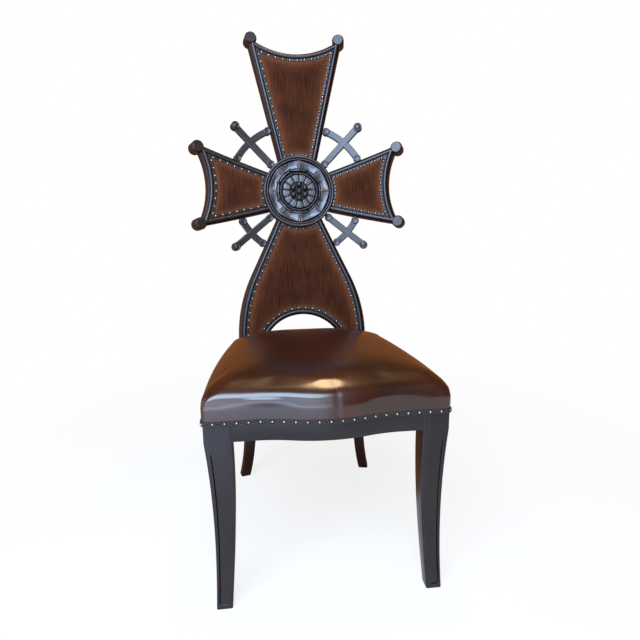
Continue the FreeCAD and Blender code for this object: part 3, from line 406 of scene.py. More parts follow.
def arcBetween(centre, axis, start, end, steps):
    # Points on a circle from one point to another, turns measured from an axis
    radius = (start - centre).length
    side = Vector((-axis.y, axis.x))
    turns = evenly(turnFrom(axis, start - centre), turnFrom(axis, end - centre), steps)
    return [centre + (axis * math.cos(t) + side * math.sin(t)) * radius for t in turns]


# Arms of the cross, each between its roots at the hub and the knobs at its hollow end

hubForm = dict(radius=103.0, proud=10.0, field=5.0)
moulding = dict(width=34.0, show=16.0, pastKnob=8.0, gimp=7.4)
origin2 = Vector((0, 0))


def makeArm(roots, knobs, dip):
    roots = [Vector(p) for p in roots]
    knobs = [Vector(p) for p in knobs]
    chord = knobs[1] - knobs[0]
    past = chord.normalized() * moulding["pastKnob"]
    middle = (knobs[0] + knobs[1]) / 2
    out = Vector((chord.y, -chord.x)).normalized()
    if out.dot(middle) < 0:
        out = out * -1
    radius = (chord.length ** 2 / 4 + dip ** 2) / (2 * dip)
    return dict(roots=roots, tips=[knobs[0] - past, knobs[1] + past], knobs=knobs, middle=middle, out=out,
                endRadius=radius, endCentre=middle + out * (radius - dip))


def armEdge(arm, side, inset):
    direction = (arm["tips"][side] - arm["roots"][side]).normalized()
    inward = Vector((-direction.y, direction.x))
    if inward.dot(arm["middle"] - arm["roots"][side]) < 0:
        inward = inward * -1
    return arm["roots"][side] + inward * inset, direction


def tipCorner(arm, side, inset):
    point, direction = armEdge(arm, side, inset)
    return crossing(point, direction, arm["endCentre"], arm["endRadius"] + inset, False)


def stileLine(arm, side, inset, gap=-1.0, steps=14):
    point, direction = armEdge(arm, side, inset)
    start = crossing(point, direction, origin2, hubForm["radius"] + gap, True)
    return straight(start, tipCorner(arm, side, inset), steps)


def endLine(arm, inset, steps=28):
    ends = [tipCorner(arm, side, inset) for side in (0, 1)]
    return arcBetween(arm["endCentre"], arm["out"] * -1, *ends, steps)


def hubLine(axis, start, end, steps=16):
    return arcBetween(origin2, axis, start, end, steps)


upperSizes = dict(rootHalf=56.0, rootHeight=93.0, knobHalf=125.0, knobHeight=430.0, dip=35.0)
sideSizes = dict(rootHalf=58.0, rootReach=93.0, knobReach=279.0, knobUp=114.0, knobDown=96.0, dip=24.0)
upperArm = makeArm(
    [(s * upperSizes["rootHalf"], upperSizes["rootHeight"]) for s in (-1, 1)],
    [(s * upperSizes["knobHalf"], upperSizes["knobHeight"]) for s in (-1, 1)],
    upperSizes["dip"],
)
sideArm = makeArm(
    [(sideSizes["rootReach"], s * sideSizes["rootHalf"]) for s in (-1, 1)],
    [(sideSizes["knobReach"], v) for v in (-sideSizes["knobDown"], sideSizes["knobUp"])],
    sideSizes["dip"],
)

# Lower arm: a straight flare that turns upright on one arc, and an arch above the seat
lowerSizes = dict(neckHalf=70.5, neckDrop=89.5, flare=24.8, flareEnd=242.0, flareRadius=430.0, arch=120.0,
                  archDrop=479.0)
flare = math.radians(lowerSizes["flare"])
flareDown = Vector((math.sin(flare), -math.cos(flare)))
flareIn = Vector((-math.cos(flare), -math.sin(flare)))
neck = Vector((lowerSizes["neckHalf"], -lowerSizes["neckDrop"]))
flareTurn = neck + flareDown * ((lowerSizes["flareEnd"] - lowerSizes["neckDrop"]) / math.cos(flare))
flareCentre = flareTurn + flareIn * lowerSizes["flareRadius"]
archCentre = Vector((0, -lowerSizes["archDrop"]))
lowerEnd = -(backForm["hubHeight"] - railForm["top"]) / math.cos(lean) - backForm["thick"] * math.tan(lean)


def lowerLine(inset, gap=-1.0, steps=14):
    start = crossing(neck + flareIn * inset, flareDown, origin2, hubForm["radius"] + gap, True)
    radius = lowerSizes["flareRadius"] - inset
    last = math.asin((lowerEnd - flareCentre.y) / radius)
    bend = [flareCentre + spoke(t) * radius for t in evenly(flare, last, steps)[1:]]
    return straight(start, flareTurn + flareIn * inset, steps) + bend


def archLine(inset, steps=40):
    radius = lowerSizes["arch"] + inset
    low = math.asin((lowerEnd - archCentre.y) / radius)
    return [archCentre + spoke(t) * radius for t in evenly(low, math.pi - low, steps)]


def armEdges(arm, inset, steps=14, endSteps=28):
    # Lines at an inset on the two sides of an arm, along the hub and along the end
    low, high = (stileLine(arm, side, inset, inset - moulding["show"], steps) for side in (0, 1))
    return low, high, hubLine(arm["out"], low[0], high[0]), endLine(arm, inset, endSteps)


def lowerEdges(inset):
    right = lowerLine(inset, inset - moulding["show"])
    left = mirrored(right)
    return left, right, hubLine(Vector((0, -1)), left[0], right[0])


def bentRings(lineAt, section, sign=1):
    columns = [lineAt(inset) for inset, depth in section]
    rings = []
    for points in zip(*columns):
        rings.append([onBack(sign * p.x, p.y, depth) for p, (inset, depth) in zip(points, section)])
    return rings


# Section of every stile and rail of the back: (inset from the outer edge, depth behind the face)
beadForm = dict(start=4.4, width=9.6, rise=3.4, foot=1.6, fullness=0.85, steps=12, quirkDepth=(1.4, 2.6))
outerEdge = [(1.6, 34.0), (0.4, 33.6), (0.0, 32.4), (0.0, 20.0), (0.0, 8.0), (0.3, 5.2), (1.1, 3.2),
             (2.4, 2.2), (3.8, 1.9)]
innerEdge = [(14.6, 2.0), (15.3, 1.1), (16.0, 1.0), (16.0, 10.0), (34.0, 10.0), (34.0, 29.0),
             (24.0, 29.0), (24.0, 34.0)]
bead = []
for turn in evenly(0, math.pi, beadForm["steps"]):
    across = beadForm["start"] + beadForm["width"] * (1 - math.cos(turn)) / 2
    high = (beadForm["rise"] + beadForm["foot"]) * math.sin(turn) ** beadForm["fullness"]
    bead.append((across, beadForm["foot"] - high))
frameSection = outerEdge + bead + innerEdge
# Even level of the recess mask on plain pieces: a slightly darker colour and duller shine all over
evenDarkening = 0.3


def quirk(i, j):
    # Painted shade, near black, in the two quirks beside the bead
    low, high = beadForm["quirkDepth"]
    return 1.0 if low < frameSection[j][1] < high else 0.0


def evenlyDarkened(i, j):
    return evenDarkening


def framePiece(name, lineAt, sign=1):
    woodPiece(name, [loft(bentRings(lineAt, frameSection, sign), recess=quirk)])


framePiece("crestRail", lambda s: endLine(upperArm, s))
for side, word in enumerate(("left", "right")):
    framePiece("upperStile_" + word, lambda s: stileLine(upperArm, side, s))
for sign, word in sides:
    framePiece("armEndRail_" + word, lambda s: endLine(sideArm, s), sign)
    framePiece("armLowerStile_" + word, lambda s: stileLine(sideArm, 0, s), sign)
    framePiece("armUpperStile_" + word, lambda s: stileLine(sideArm, 1, s), sign)
framePiece("archRail", archLine)
print("back frame swept")


# Knobs at the corners of the arms: turned drums with a flat face, an eased shoulder and a fine groove
knobForm = dict(radius=17.0, face=14.0, proud=7.0, tail=4.5)


def knobProfile():
    r, f, front = knobForm["radius"], knobForm["face"], -knobForm["proud"]
    back = backForm["thick"] + knobForm["tail"]
    face = [(0, 0), (f - 1.8, 0), (f - 0.8, 0), (f, 0.6), (f + 0.3, 1.8), (r - 0.7, 5.8), (r, 7.2), (r, 9),
            (r - 0.7, 10), (r, 11)]
    rear = [(r, -3.2), (r - 0.8, -1.2), (r - 2.6, 0), (0, 0)]
    return [(w, front + d) for w, d in face] + [(w, back + d) for w, d in rear]


def knobs(name, spots):
    woodPiece(name, [lathe(knobProfile(), squareTo(u, v)) for u, v in spots])


knobs("crestKnobs", upperArm["knobs"])
for sign, word in sides:
    knobs("armKnobs_" + word, [(sign * p.x, p.y) for p in sideArm["knobs"]])


# Ring bars and spindles between the arms
ringForm = dict(width=18.5, front=11.0, thick=12.0, ease=1.6, flat=0.6, lap=0.35, boss=11.0, bossProud=2.6,
                bossDish=0.5, bossSeat=1.5, knob=12.0, knobProud=4.6, knobDish=0.7, rim=2.6, discSides=40,
                buttonSides=32, spindleSteps=16, barSteps=24)
ringPlaces = dict(upper=dict(radius=195.0, reach=254.0), lower=dict(radius=182.0, reach=241.0))
buttonProfile = [(0, -2.2), (4.2, -2.0), (6.4, -1.2), (7.5, 0.4), (7.5, 3), (0, 3)]
ringBack = ringForm["front"] + ringForm["thick"]


def barProfile(lap):
    # The second point of each flat keeps the face flat in the shading
    half, ease, flat = ringForm["width"] / 2, ringForm["ease"], ringForm["flat"]
    front, back = ringForm["front"] - lap, ringBack + lap
    right = [(half - ease - flat, front), (half - ease, front), (half - ease * 0.35, front + ease * 0.35),
             (half, front + ease), (half, front + ease + flat), (half, back - ease), (half - ease, back),
             (half - ease - flat, back)]
    return [(-w, d) for w, d in reversed(right)] + right


def barShell(path, lap, sign):
    # Path of (point, direction across the bar)
    rings = []
    for p, across in path:
        rings.append([onBack(sign * (p + across * w).x, (p + across * w).y, d) for w, d in barProfile(lap)])
    return loft(rings)


def disc(p, kind, sign):
    radius, proud, dish = ringForm[kind], ringForm[kind + "Proud"], ringForm[kind + "Dish"]
    front, back = ringForm["front"] - proud, ringBack + proud
    inner = radius - ringForm["rim"]
    profile = [(0, front + dish), (inner - 1.2, front + dish), (inner, front), (radius - 0.8, front + 0.3),
               (radius, front + 1.4), (radius, back - 1.2), (radius - 1.0, back), (0, back)]
    return lathe(profile, squareTo(sign * p.x, p.y), ringForm["discSides"])


def bossPoint(place, point, direction, outward):
    off = point + outward * (ringForm["boss"] - ringForm["bossSeat"])
    return crossing(off, direction, origin2, ringPlaces[place]["radius"], True)


def openingPieces(first, second, place, sign, word):
    # The spindle from the hub out to its knob, and the bar from one arm's boss to the other's
    ends = [math.atan2(p.y, p.x) for p in (first, second)]
    out = spoke(sum(ends) / 2)
    side = Vector((-out.y, out.x))
    inner = out * (hubForm["radius"] + ringForm["boss"] - ringForm["bossSeat"])
    knob = out * ringPlaces[place]["reach"]
    high = ringForm["front"] - ringForm["knobProud"]
    button = [(r, high + d) for r, d in buttonProfile]
    woodPiece(place + "Spindle_" + word, [
        barShell([(p, side) for p in straight(inner, knob, ringForm["spindleSteps"])], ringForm["lap"], sign),
        disc(inner, "boss", sign),
        disc(knob, "knob", sign),
        lathe(button, squareTo(sign * knob.x, knob.y), ringForm["buttonSides"]),
    ])
    spokes = [spoke(t) for t in evenly(*ends, ringForm["barSteps"])]
    bar = barShell([(s * ringPlaces[place]["radius"], s) for s in spokes], 0, sign)
    woodPiece(place + "RingBar_" + word, [bar] + [disc(p, "boss", sign) for p in (first, second)])


def quarterTurn(direction, sign):
    return Vector((-sign * direction.y, sign * direction.x))


upPoint, upWay = armEdge(upperArm, 1, 0)
highPoint, highWay = armEdge(sideArm, 1, 0)
lowPoint, lowWay = armEdge(sideArm, 0, 0)
upBoss = bossPoint("upper", upPoint, upWay, quarterTurn(upWay, -1))
highBoss = bossPoint("upper", highPoint, highWay, quarterTurn(highWay, 1))
lowBoss = bossPoint("lower", lowPoint, lowWay, quarterTurn(lowWay, -1))
flareBoss = bossPoint("lower", neck, flareDown, flareIn * -1)
for sign, word in sides:
    openingPieces(highBoss, upBoss, "upper", sign, word)
    openingPieces(flareBoss, lowBoss, "lower", sign, word)
print("knobs, ring bars and spindles made")


# Hub with its beaded rim and a collar round the daisy
rimForm = dict(rimBead=4.2, innerBead=2.6, collar=53.0, collarBead=2.4, sunk=2.0, wall=0.4, rimWall=0.8,
               lip=0.5, crease=0.6, segments=128)
rimRear = [(103.0, 4.0), (103.0, 31.0), (102.0, 33.2), (100.0, 34.0), (92.0, 34.0), (90.5, 33.0),
           (88.0, 33.0), (86.5, 34.0), (0, 34.0)]
fieldDepth = -hubForm["proud"] + hubForm["field"]


def halfRound(middle, radius, base, steps=8):
    return [(middle - radius * math.cos(t), base - radius * math.sin(t)) for t in evenly(0, math.pi, steps)]


def hubBlock():
    front, r = -hubForm["proud"], hubForm["radius"]
    quirkRadius = r - 2 * rimForm["rimBead"]
    rimEnd = quirkRadius - 2 * rimForm["innerBead"]
    collar = halfRound(rimForm["collar"], rimForm["collarBead"], fieldDepth)
    inner = halfRound(quirkRadius - rimForm["innerBead"], rimForm["innerBead"], front)
    outer = halfRound(r - rimForm["rimBead"], rimForm["rimBead"], front)
    floor = fieldDepth + rimForm["sunk"]
    start, end = collar[0][0] - rimForm["wall"], collar[-1][0] + rimForm["wall"]
    # A third value of 1 paints shade on the sunk field and in the quirk between the rim beads
    shape = [(0, floor, 1), (start, floor, 1)] + collar[1:-1] + [(end, floor, 1)]
    shape += [(rimEnd - rimForm["rimWall"], floor, 1), (rimEnd, front + rimForm["lip"])] + inner[1:-1]
    shape.append((quirkRadius, front + rimForm["crease"], 1))
    woodPiece("hubBlock", [lathe(shape + outer[1:] + rimRear, onHub, rimForm["segments"])], "hub")


# Carved rosette: a ring of leaves, a daisy and a round of balls
leafForm = dict(count=8, steps=44, across=34, inner=55.5, notch=64.5, shoulder=0.4, point=0.17, outer=89.5,
                chord=0.65, high=7.6, dish=3.6, start=0.06, fullness=0.75, seam=(0.92, 0.025),
                seamRun=(0.5, 0.55), seamDeep=1.2, line=(0.2, 0.045), lineDeep=1.6, innerLip=(0.0, 0.03),
                innerDeep=1.3, outerLip=(1.0, 0.035), outerDeep=1.6, lipShade=0.05, wax=1.8, wearAndSheen=0.9,
                under=2.5)
petalForm = dict(count=13, steps=26, eye=0.6, eyeSteps=6, root=22.0, across=24, tip=48.0, roundTip=3.0,
                 high=5.4, groove=1.0, grooveDeep=3.0, line=(3.4, 0.9), lineDeep=0.7, lip=1.2, bowl=27.0,
                 bowlEdge=1.5, bowlHigh=1.4, bowlSlope=2.6, bowlShade=0.7, wax=1.7, wearAndSheen=0.8, under=2.4)
seedForm = dict(count=6, ring=19.4, radius=7.9, lift=4.0)


def ridge(value, centre, width):
    return math.exp(-((value - centre) / width) ** 2)


def leafRow(share, step):
    # Dished leaf with a flat chord-like outer edge, a bracket-shaped inner edge and an incised line along it
    edge = abs(2 * share - 1)
    shoulder, start = leafForm["shoulder"], leafForm["start"]
    bracket = shoulder * math.sqrt(max(0.0, 1 - edge ** 4))
    bracket += (1 - shoulder) * ridge(edge, 0, leafForm["point"])
    inner = leafForm["inner"] + (leafForm["notch"] - leafForm["inner"]) * bracket
    chord = leafForm["outer"] * math.cos(step / 2) / math.cos((share - 0.5) * step)
    outer = leafForm["chord"] * chord + (1 - leafForm["chord"]) * leafForm["outer"]
    row = []
    for s in evenly(0, 1, leafForm["across"]):
        hollow = math.sin(math.pi * min(1, start + s * (1 - start))) ** leafForm["fullness"]
        seam = ridge(edge, *leafForm["seam"]) * ridge(s, *leafForm["seamRun"])
        line = ridge(s, *leafForm["line"]) * (1 - edge ** 8)
        high = leafForm["high"] - leafForm["dish"] * (1 - edge ** 2) * hollow
        high -= leafForm["seamDeep"] * seam + leafForm["lineDeep"] * line
        high -= leafForm["innerDeep"] * ridge(s, *leafForm["innerLip"])
        high -= leafForm["outerDeep"] * ridge(s, *leafForm["outerLip"])
        # Painted shade in the seams, along the incised line and at both lips; the rest of the leaf gets the
        # brighter shine of wear and painted highlight
        dark = seam + line + ridge(s, 0, leafForm["lipShade"]) + ridge(s, 1, leafForm["lipShade"])
        row.append((inner + (outer - inner) * s, high, min(1.0, leafForm["wax"] * dark - leafForm["wearAndSheen"])))
    return row


def petalRow(share, step):
    # Petal with a rounded tip, deep grooves to its neighbours and a fine line inside its edge
    edge = abs(2 * share - 1)
    tip = petalForm["tip"] - petalForm["roundTip"] * (1 - math.sqrt(max(0.0, 1 - edge ** 2)))
    root, bowl = petalForm["root"], petalForm["bowl"]
    radii = evenly(petalForm["eye"], root, petalForm["eyeSteps"])[:-1]
    radii += evenly(root, tip, petalForm["across"])
    row = []
    for r in radii:
        aside = r * math.sin((1 - edge) * step / 2)
        cut = ridge(aside, 0, petalForm["groove"])
        lip = petalForm["lip"]
        high = petalForm["high"] - petalForm["grooveDeep"] * cut - lip * ridge(r, tip, lip)
        high -= petalForm["lineDeep"] * ridge(min(aside, tip - r), *petalForm["line"])
        if r < bowl + petalForm["bowlEdge"]:
            high = min(high, petalForm["bowlHigh"] + max(0.0, r - bowl) * petalForm["bowlSlope"])
        # Painted shade in the grooves between petals and over the bowl round the balls; the rest gets the
        # brighter shine of wear and painted highlight
        wax = petalForm["wax"] * cut - petalForm["wearAndSheen"] if r > bowl else petalForm["bowlShade"]
        row.append((r, high, wax))
    return row


def carvedRing(name, form, rowAt):
    # Ring of equal units: rowAt gives (radius, height, recess) from the inside out at a share of the unit
    step = 2 * math.pi / form["count"]
    rings, wax = [], []
    for n in range(form["steps"] * form["count"]):
        turn = n * step / form["steps"]
        row = rowAt((n % form["steps"]) / form["steps"], step)
        # Undersides down to the field, with painted shade
        row += [(row[-1][0], -form["under"], 1), (row[0][0], -form["under"], 1)]
        rings.append([onHub(r * math.sin(turn), r * math.cos(turn), fieldDepth - high) for r, high, w in row])
        wax.append([w for r, high, w in row])
    woodPiece(name, [loft(rings, True, lambda i, j: wax[i][j])], "carved")


# Geometry Nodes: a tree with named inputs, applied to a plain mesh

def newTree(name, sockets):
    tree = bpy.data.node_groups.new(name, "GeometryNodeTree")
    tree.interface.new_socket("Geometry", in_out="INPUT", socket_type="NodeSocketGeometry")
    for label, kind in sockets.items():
        tree.interface.new_socket(label, in_out="INPUT", socket_type="NodeSocket" + kind)
    tree.interface.new_socket("Geometry", in_out="OUTPUT", socket_type="NodeSocketGeometry")
    return tree, addNode(tree, "NodeGroupInput").outputs


def closeTree(tree, geometry, material):
    real = addNode(tree, "GeometryNodeRealizeInstances", {"Geometry": geometry})
    painted = addNode(tree, "GeometryNodeSetMaterial", {"Geometry": real, "Material": material})
    addNode(tree, "NodeGroupOutput", {"Geometry": painted})
    return tree


def grown(tree, mesh, values):
    # Runs a tree on a mesh and gives back the plain mesh that it makes, as a shell
    holder = linked("grow", mesh)
    modifier = holder.modifiers.new("grow", "NODES")
    modifier.node_group = tree
    for item in tree.interface.items_tree:
        if item.in_out == "INPUT" and item.name in values:
            modifier[item.identifier] = values[item.name]
    graph = bpy.context.evaluated_depsgraph_get()
    made = bpy.data.meshes.new_from_object(holder.evaluated_get(graph))
    holder.modifiers.remove(modifier)
    bpy.data.objects.remove(holder)
    bpy.data.meshes.remove(mesh)
    shell = bmesh.new()
    shell.from_mesh(made)
    bpy.data.meshes.remove(made)
    return shell


def seedTree():
    # A round of balls about one in the middle
    sockets = {"Count": "Int", "Ring radius": "Float", "Seed radius": "Float", "Finish": "Material"}
    tree, given = newTree("seedRound", sockets)
    ball = addNode(tree, "GeometryNodeMeshUVSphere",
                   {"Segments": 24, "Rings": 14, "Radius": given["Seed radius"]})
    ring = addNode(tree, "GeometryNodeMeshCircle",
                   {"Vertices": given["Count"], "Radius": given["Ring radius"]})
    around = addNode(tree, "GeometryNodeInstanceOnPoints", {"Points": ring, "Instance": ball})
    both = addNode(tree, "GeometryNodeJoinGeometry", {"Geometry": around})
    setInputs(tree, both, {"Geometry": ball})
    return closeTree(tree, both, given["Finish"])


def seeds():
    values = {"Count": seedForm["count"], "Ring radius": seedForm["ring"] * mm,
              "Seed radius": seedForm["radius"] * mm, "Finish": woodFinish}
    shell = grown(seedTree(), bpy.data.meshes.new("seedStart"), values)
    face = fieldDepth - petalForm["high"] - seedForm["lift"]
    for vert in shell.verts:
        x, y, z = vert.co / mm
        vert.co = onHub(y, x, face - z) * mm
    woodPiece("rosetteSeeds", [shell], "carved")


hubBlock()
carvedRing("rosetteLeaves", leafForm, leafRow)
carvedRing("rosetteDaisy", petalForm, petalRow)
seeds()
print("rosette carved")


# Nails and links along the trims

nailSets = dict(
    back=dict(pitch=21.0, headRadius=2.7, headHeight=2.4, linkLength=8.0, linkWidth=3.6, linkWire=0.6),
    seat=dict(pitch=23.0, headRadius=2.6, headHeight=2.4, linkLength=12.0, linkWidth=5.0, linkWire=0.6),
)


def alongPath(name, sizes):
    # Start of a tree that sets a shape on every second point of a path, square to its "facing"
    sockets = {"points": "Int", "first": "Int", **{size: "Float" for size in sizes}, "metal": "Material"}
    tree, given = newTree(name, sockets)
    path = addNode(tree, "GeometryNodeMeshToCurve", {"Mesh": given["Geometry"]})
    spaced = addNode(tree, "GeometryNodeResampleCurve", {"Curve": path, "Count": given["points"]})
    away = addNode(tree, "GeometryNodeInputNamedAttribute", {"Name": "facing"}, data_type="FLOAT_VECTOR")
    axes = {"Primary Axis": away, "Secondary Axis": addNode(tree, "GeometryNodeInputTangent")}
    turn = addNode(tree, "FunctionNodeAxesToRotation", axes, primary_axis="Z", secondary_axis="X")
    index = addNode(tree, "GeometryNodeInputIndex")
    moved = addNode(tree, "FunctionNodeIntegerMath", {0: index, 1: given["first"]}, operation="ADD")
    odd = addNode(tree, "FunctionNodeIntegerMath", {0: moved, 1: 2}, operation="MODULO")
    copies = addNode(tree, "GeometryNodeInstanceOnPoints",
                     {"Points": spaced, "Selection": odd, "Rotation": turn})
    return tree, given, copies


def nailTree():
    # Domed nail heads
    tree, given, copies = alongPath("nailHeads", ["headRadius", "headHeight"])
    dome = addNode(tree, "GeometryNodeMeshUVSphere", {"Segments": 12, "Rings": 8, "Radius": 1.0})
    sizes = {"X": given["headRadius"], "Y": given["headRadius"], "Z": given["headHeight"]}
    setInputs(tree, copies, {"Instance": dome, "Scale": addNode(tree, "ShaderNodeCombineXYZ", sizes)})
    return closeTree(tree, copies, given["metal"])


def linkTree():
    # Small open links of bent wire
    tree, given, copies = alongPath("openLinks", ["linkLength", "linkWidth", "linkWire"])
    outline = addNode(tree, "GeometryNodeCurvePrimitiveQuadrilateral",
                      {"Width": given["linkLength"], "Height": given["linkWidth"]}, mode="RECTANGLE")
    eased = addNode(tree, "GeometryNodeFilletCurve",
                    {"Curve": outline, "Count": 2, "Radius": 0.0012}, mode="POLY")
    section = addNode(tree, "GeometryNodeCurvePrimitiveCircle",
                      {"Resolution": 6, "Radius": given["linkWire"]})
    link = addNode(tree, "GeometryNodeCurveToMesh", {"Curve": eased, "Profile Curve": section})
    setInputs(tree, copies, {"Instance": link})
    return closeTree(tree, copies, given["metal"])


# Each kind of trim: its tree, the first point that it is set on, and its metal
trimKinds = dict(nails=(nailTree(), 1, nailFinish), links=(linkTree(), 0, linkFinish))


def trimShells(points, normals, closed, form):
    # Nails and links on one path, as two shells
    count = len(points)
    edges = [(k, k + 1) for k in range(count - 1)] + ([(count - 1, 0)] if closed else [])
    length = runs(points + points[:1] if closed else points)[-1]
    values = {key: size * mm for key, size in form.items()}
    values["points"] = 2 * round(length / form["pitch"]) + (0 if closed else 1)
    shells = {}
    for kind, (tree, first, metal) in trimKinds.items():
        mesh = bpy.data.meshes.new("trimPath")
        mesh.from_pydata([p * mm for p in points], edges, [])
        layer = mesh.attributes.new("facing", "FLOAT_VECTOR", "POINT")
        for k, normal in enumerate(normals):
            layer.data[k].vector = normal
        shells[kind] = grown(tree, mesh, {**values, "first": first, "metal": metal})
    return shells


def trimPieces(place, sets):
    for kind, (tree, first, metal) in trimKinds.items():
        shells = [pair[kind] for pair in sets]
        makePiece(place + kind.title(), shells, metal, "carved", [])


# Trim strips of the back: closed loops round three arms, open ones on the lower arm
gimpForm = dict(inner=16.2, outer=23.4, back=1.8, face=-0.2, nailLine=19.8, nailLift=0.2)


def gimpLoop(arm, inset, steps=24):
    low, high, hub, end = armEdges(arm, inset, steps, steps)
    return low[:-1] + end[:-1] + high[:0:-1] + hub[:0:-1]


def lowerGimp(inset):
    left, right, hub = lowerEdges(inset)
    return right[:0:-1] + hub[:0:-1] + left


def gimpSection():
    # Flat strip with a corded edge on each side
    a, b, back, face = (gimpForm[key] for key in ("inner", "outer", "back", "face"))
    cord = [(0, back), (0, face + 0.5), (0.6, face - 0.3), (1.5, face - 0.3), (2.1, face + 0.2)]
    return [(a + w, d) for w, d in cord] + [((a + b) / 2, face)] + [(b - w, d) for w, d in cord[::-1]]


gimpLines = [
    (lambda s: gimpLoop(upperArm, s), 1, True),
    (lambda s: gimpLoop(sideArm, s), 1, True),
    (lambda s: gimpLoop(sideArm, s), -1, True),
    (lowerGimp, 1, False),
    (archLine, 1, False),
]
gimpShells = []
backTrim = []
for lineAt, sign, closed in gimpLines:
    gimpShells.append(loft(bentRings(lineAt, gimpSection(), sign), closed))
    flat = lineAt(gimpForm["nailLine"])
    points = [onBack(sign * p.x, p.y, gimpForm["face"] - gimpForm["nailLift"]) for p in flat]
    backTrim.append(trimShells(points, [facing(sign * p.x) for p in flat], closed, nailSets["back"]))
makePiece("backGimp", gimpShells, gimpFinish)
trimPieces("back", backTrim)
print("trim of the back nailed")


# Rear legs: the flared stile above, a square leg below that splays to the foot
rearLeg = dict(footWidth=28.0, footDepth=26.0, topWidth=34.0, topDepth=backForm["thick"] / math.cos(lean),
               knee=130.0, splay=19.0, kick=10.0, kneeForward=2.0, railForward=3.0, ease=2.6, foot=0.8,
               footHeight=1.2, steps=26)


def throughStations(stations, z):
    # Smooth value at a height from four (height, value) stations
    total = 0.0
    for here, value in stations:
        total += value * math.prod((z - other) / (here - other) for other, rest in stations if other != here)
    return total


def tapered(form, share, tuck):
    # Width and depth of a leg at a share of its height, drawn in all round by a tuck
    width = form["footWidth"] + (form["topWidth"] - form["footWidth"]) * share - 2 * tuck
    return width, form["footDepth"] + (form["topDepth"] - form["footDepth"]) * share - 2 * tuck


def easedBox(half, deep, ease):
    # Rectangle with eased corners, from the front left corner round to the right
    points = []
    for sx, sy, start in ((-1, -1, 180), (1, -1, 270), (1, 1, 0), (-1, 1, 90)):
        for turn in (0, 30, 60, 90):
            p = spoke(math.radians(start + turn)) * ease
            points.append((sx * (half - ease) + p.x, sy * (deep - ease) + p.y))
    return points


def rearLegRings(sign):
    half = lowerLine(0)[-1].x - moulding["width"] / 2
    turn = -math.asin(half / backForm["radius"])
    top = onBack(half, lowerEnd, backForm["thick"] / 2)
    rails, knee, under = railForm["top"], rearLeg["knee"], railForm["bottom"]
    splay = [(0, rearLeg["splay"]), (knee, 0), (under, 0), (rails, 0)]
    kick = [(0, rearLeg["kick"]), (knee, -rearLeg["kneeForward"]), (under, -rearLeg["railForward"]),
            (rails, 0)]
    rings = []
    for z in [0, rearLeg["footHeight"]] + evenly(0, rails, rearLeg["steps"])[1:]:
        width, depth = tapered(rearLeg, z / rails, 0 if z else rearLeg["foot"])
        ring = []
        for x, y in easedBox(width / 2, depth / 2, rearLeg["ease"]):
            px = top.x + throughStations(splay, z) + x * math.cos(turn) - y * math.sin(turn)
            py = top.y + throughStations(kick, z) + x * math.sin(turn) + y * math.cos(turn)
            ring.append(Vector((sign * px, py, z)))
        rings.append(ring)
    return rings


# Front legs: square tapered sabre legs with a grooved line down the outer edge of the front and across the
# toe, painted dark as shade
frontLeg = dict(topWidth=55.0, topDepth=50.0, footWidth=33.0, footDepth=29.0, taper=1.25, ease=2.4,
                hiddenEase=7.0, foot=0.8, hidden=1.6, line=0.19, lineWidth=1.3, lineDepth=1.8, lineLow=11.0,
                lineHigh=334.0, lineFade=4.0, footRun=0.62)
legInsets = [(0, 10.0), (118.0, 13.0), (236.0, 10.4), (356.0, 0.0)]
legToes = [(0, 19.0), (118.0, 8.0), (236.0, 2.7), (356.0, 0.0)]
toeLevels = [0, 1.4, 5]
shinLevels = [24 + 14 * k for k in range(22)]
jointLevels = [345, 356, 374, 391, 392, 428]


def frontLegShell(sign):
    low, high, w = frontLeg["lineLow"], frontLeg["lineHigh"], frontLeg["lineWidth"]
    fade = high - frontLeg["lineFade"]
    levels = toeLevels + [low + k * w for k in (-2, -1, 0, 1, 2)] + shinLevels + [fade, high] + jointLevels
    rings, wax = [], []
    for z in levels:
        rail = min(z, railForm["bottom"])
        share = (rail / railForm["bottom"]) ** frontLeg["taper"]
        covered = z >= railForm["leather"]
        tuck = frontLeg["hidden"] if covered else 0 if z else frontLeg["foot"]
        width, depth = tapered(frontLeg, share, tuck)
        inset, toe = throughStations(legInsets, rail), throughStations(legToes, rail)
        middleX = seatPlan["widthFront"] / 2 - inset - width / 2 - tuck
        middleY = seatFront - toe + depth / 2 + tuck
        box = easedBox(width / 2, depth / 2, frontLeg["hiddenEase" if covered else "ease"])
        groove = width / 2 - frontLeg["line"] * width
        inner = width / 2 - frontLeg["footRun"] * width
        cut = frontLeg["lineDepth"] if low <= z <= fade else 0
        foot = frontLeg["lineDepth"] if z == low else 0
        front = [(inner - w, 0), (inner, foot), (groove - 2 * w, foot), (groove - w, foot), (groove, cut),
                 (groove + w, 0)]
        ring = box[:4] + [(x, -depth / 2 + deep) for x, deep in front] + box[4:]
        rings.append([Vector((sign * (middleX + x), middleY + y, z)) for x, y in ring])
        # Painted shade along the groove and the toe line
        marks = [1.0 if deep else evenDarkening for x, deep in front]
        wax.append([evenDarkening] * 4 + marks + [evenDarkening] * len(box[4:]))
    return loft(rings, recess=lambda i, j: wax[i][j])


for sign, word in sides:
    stile = loft(bentRings(lowerLine, frameSection, sign), recess=quirk)
    woodPiece("rearLeg_" + word, [stile, loft(rearLegRings(sign), recess=evenlyDarkened)])
for sign, word in sides:
    woodPiece("frontLeg_" + word, [frontLegShell(sign)])


# Seat plan in the chair's frame: bowed sides, a serpentine front

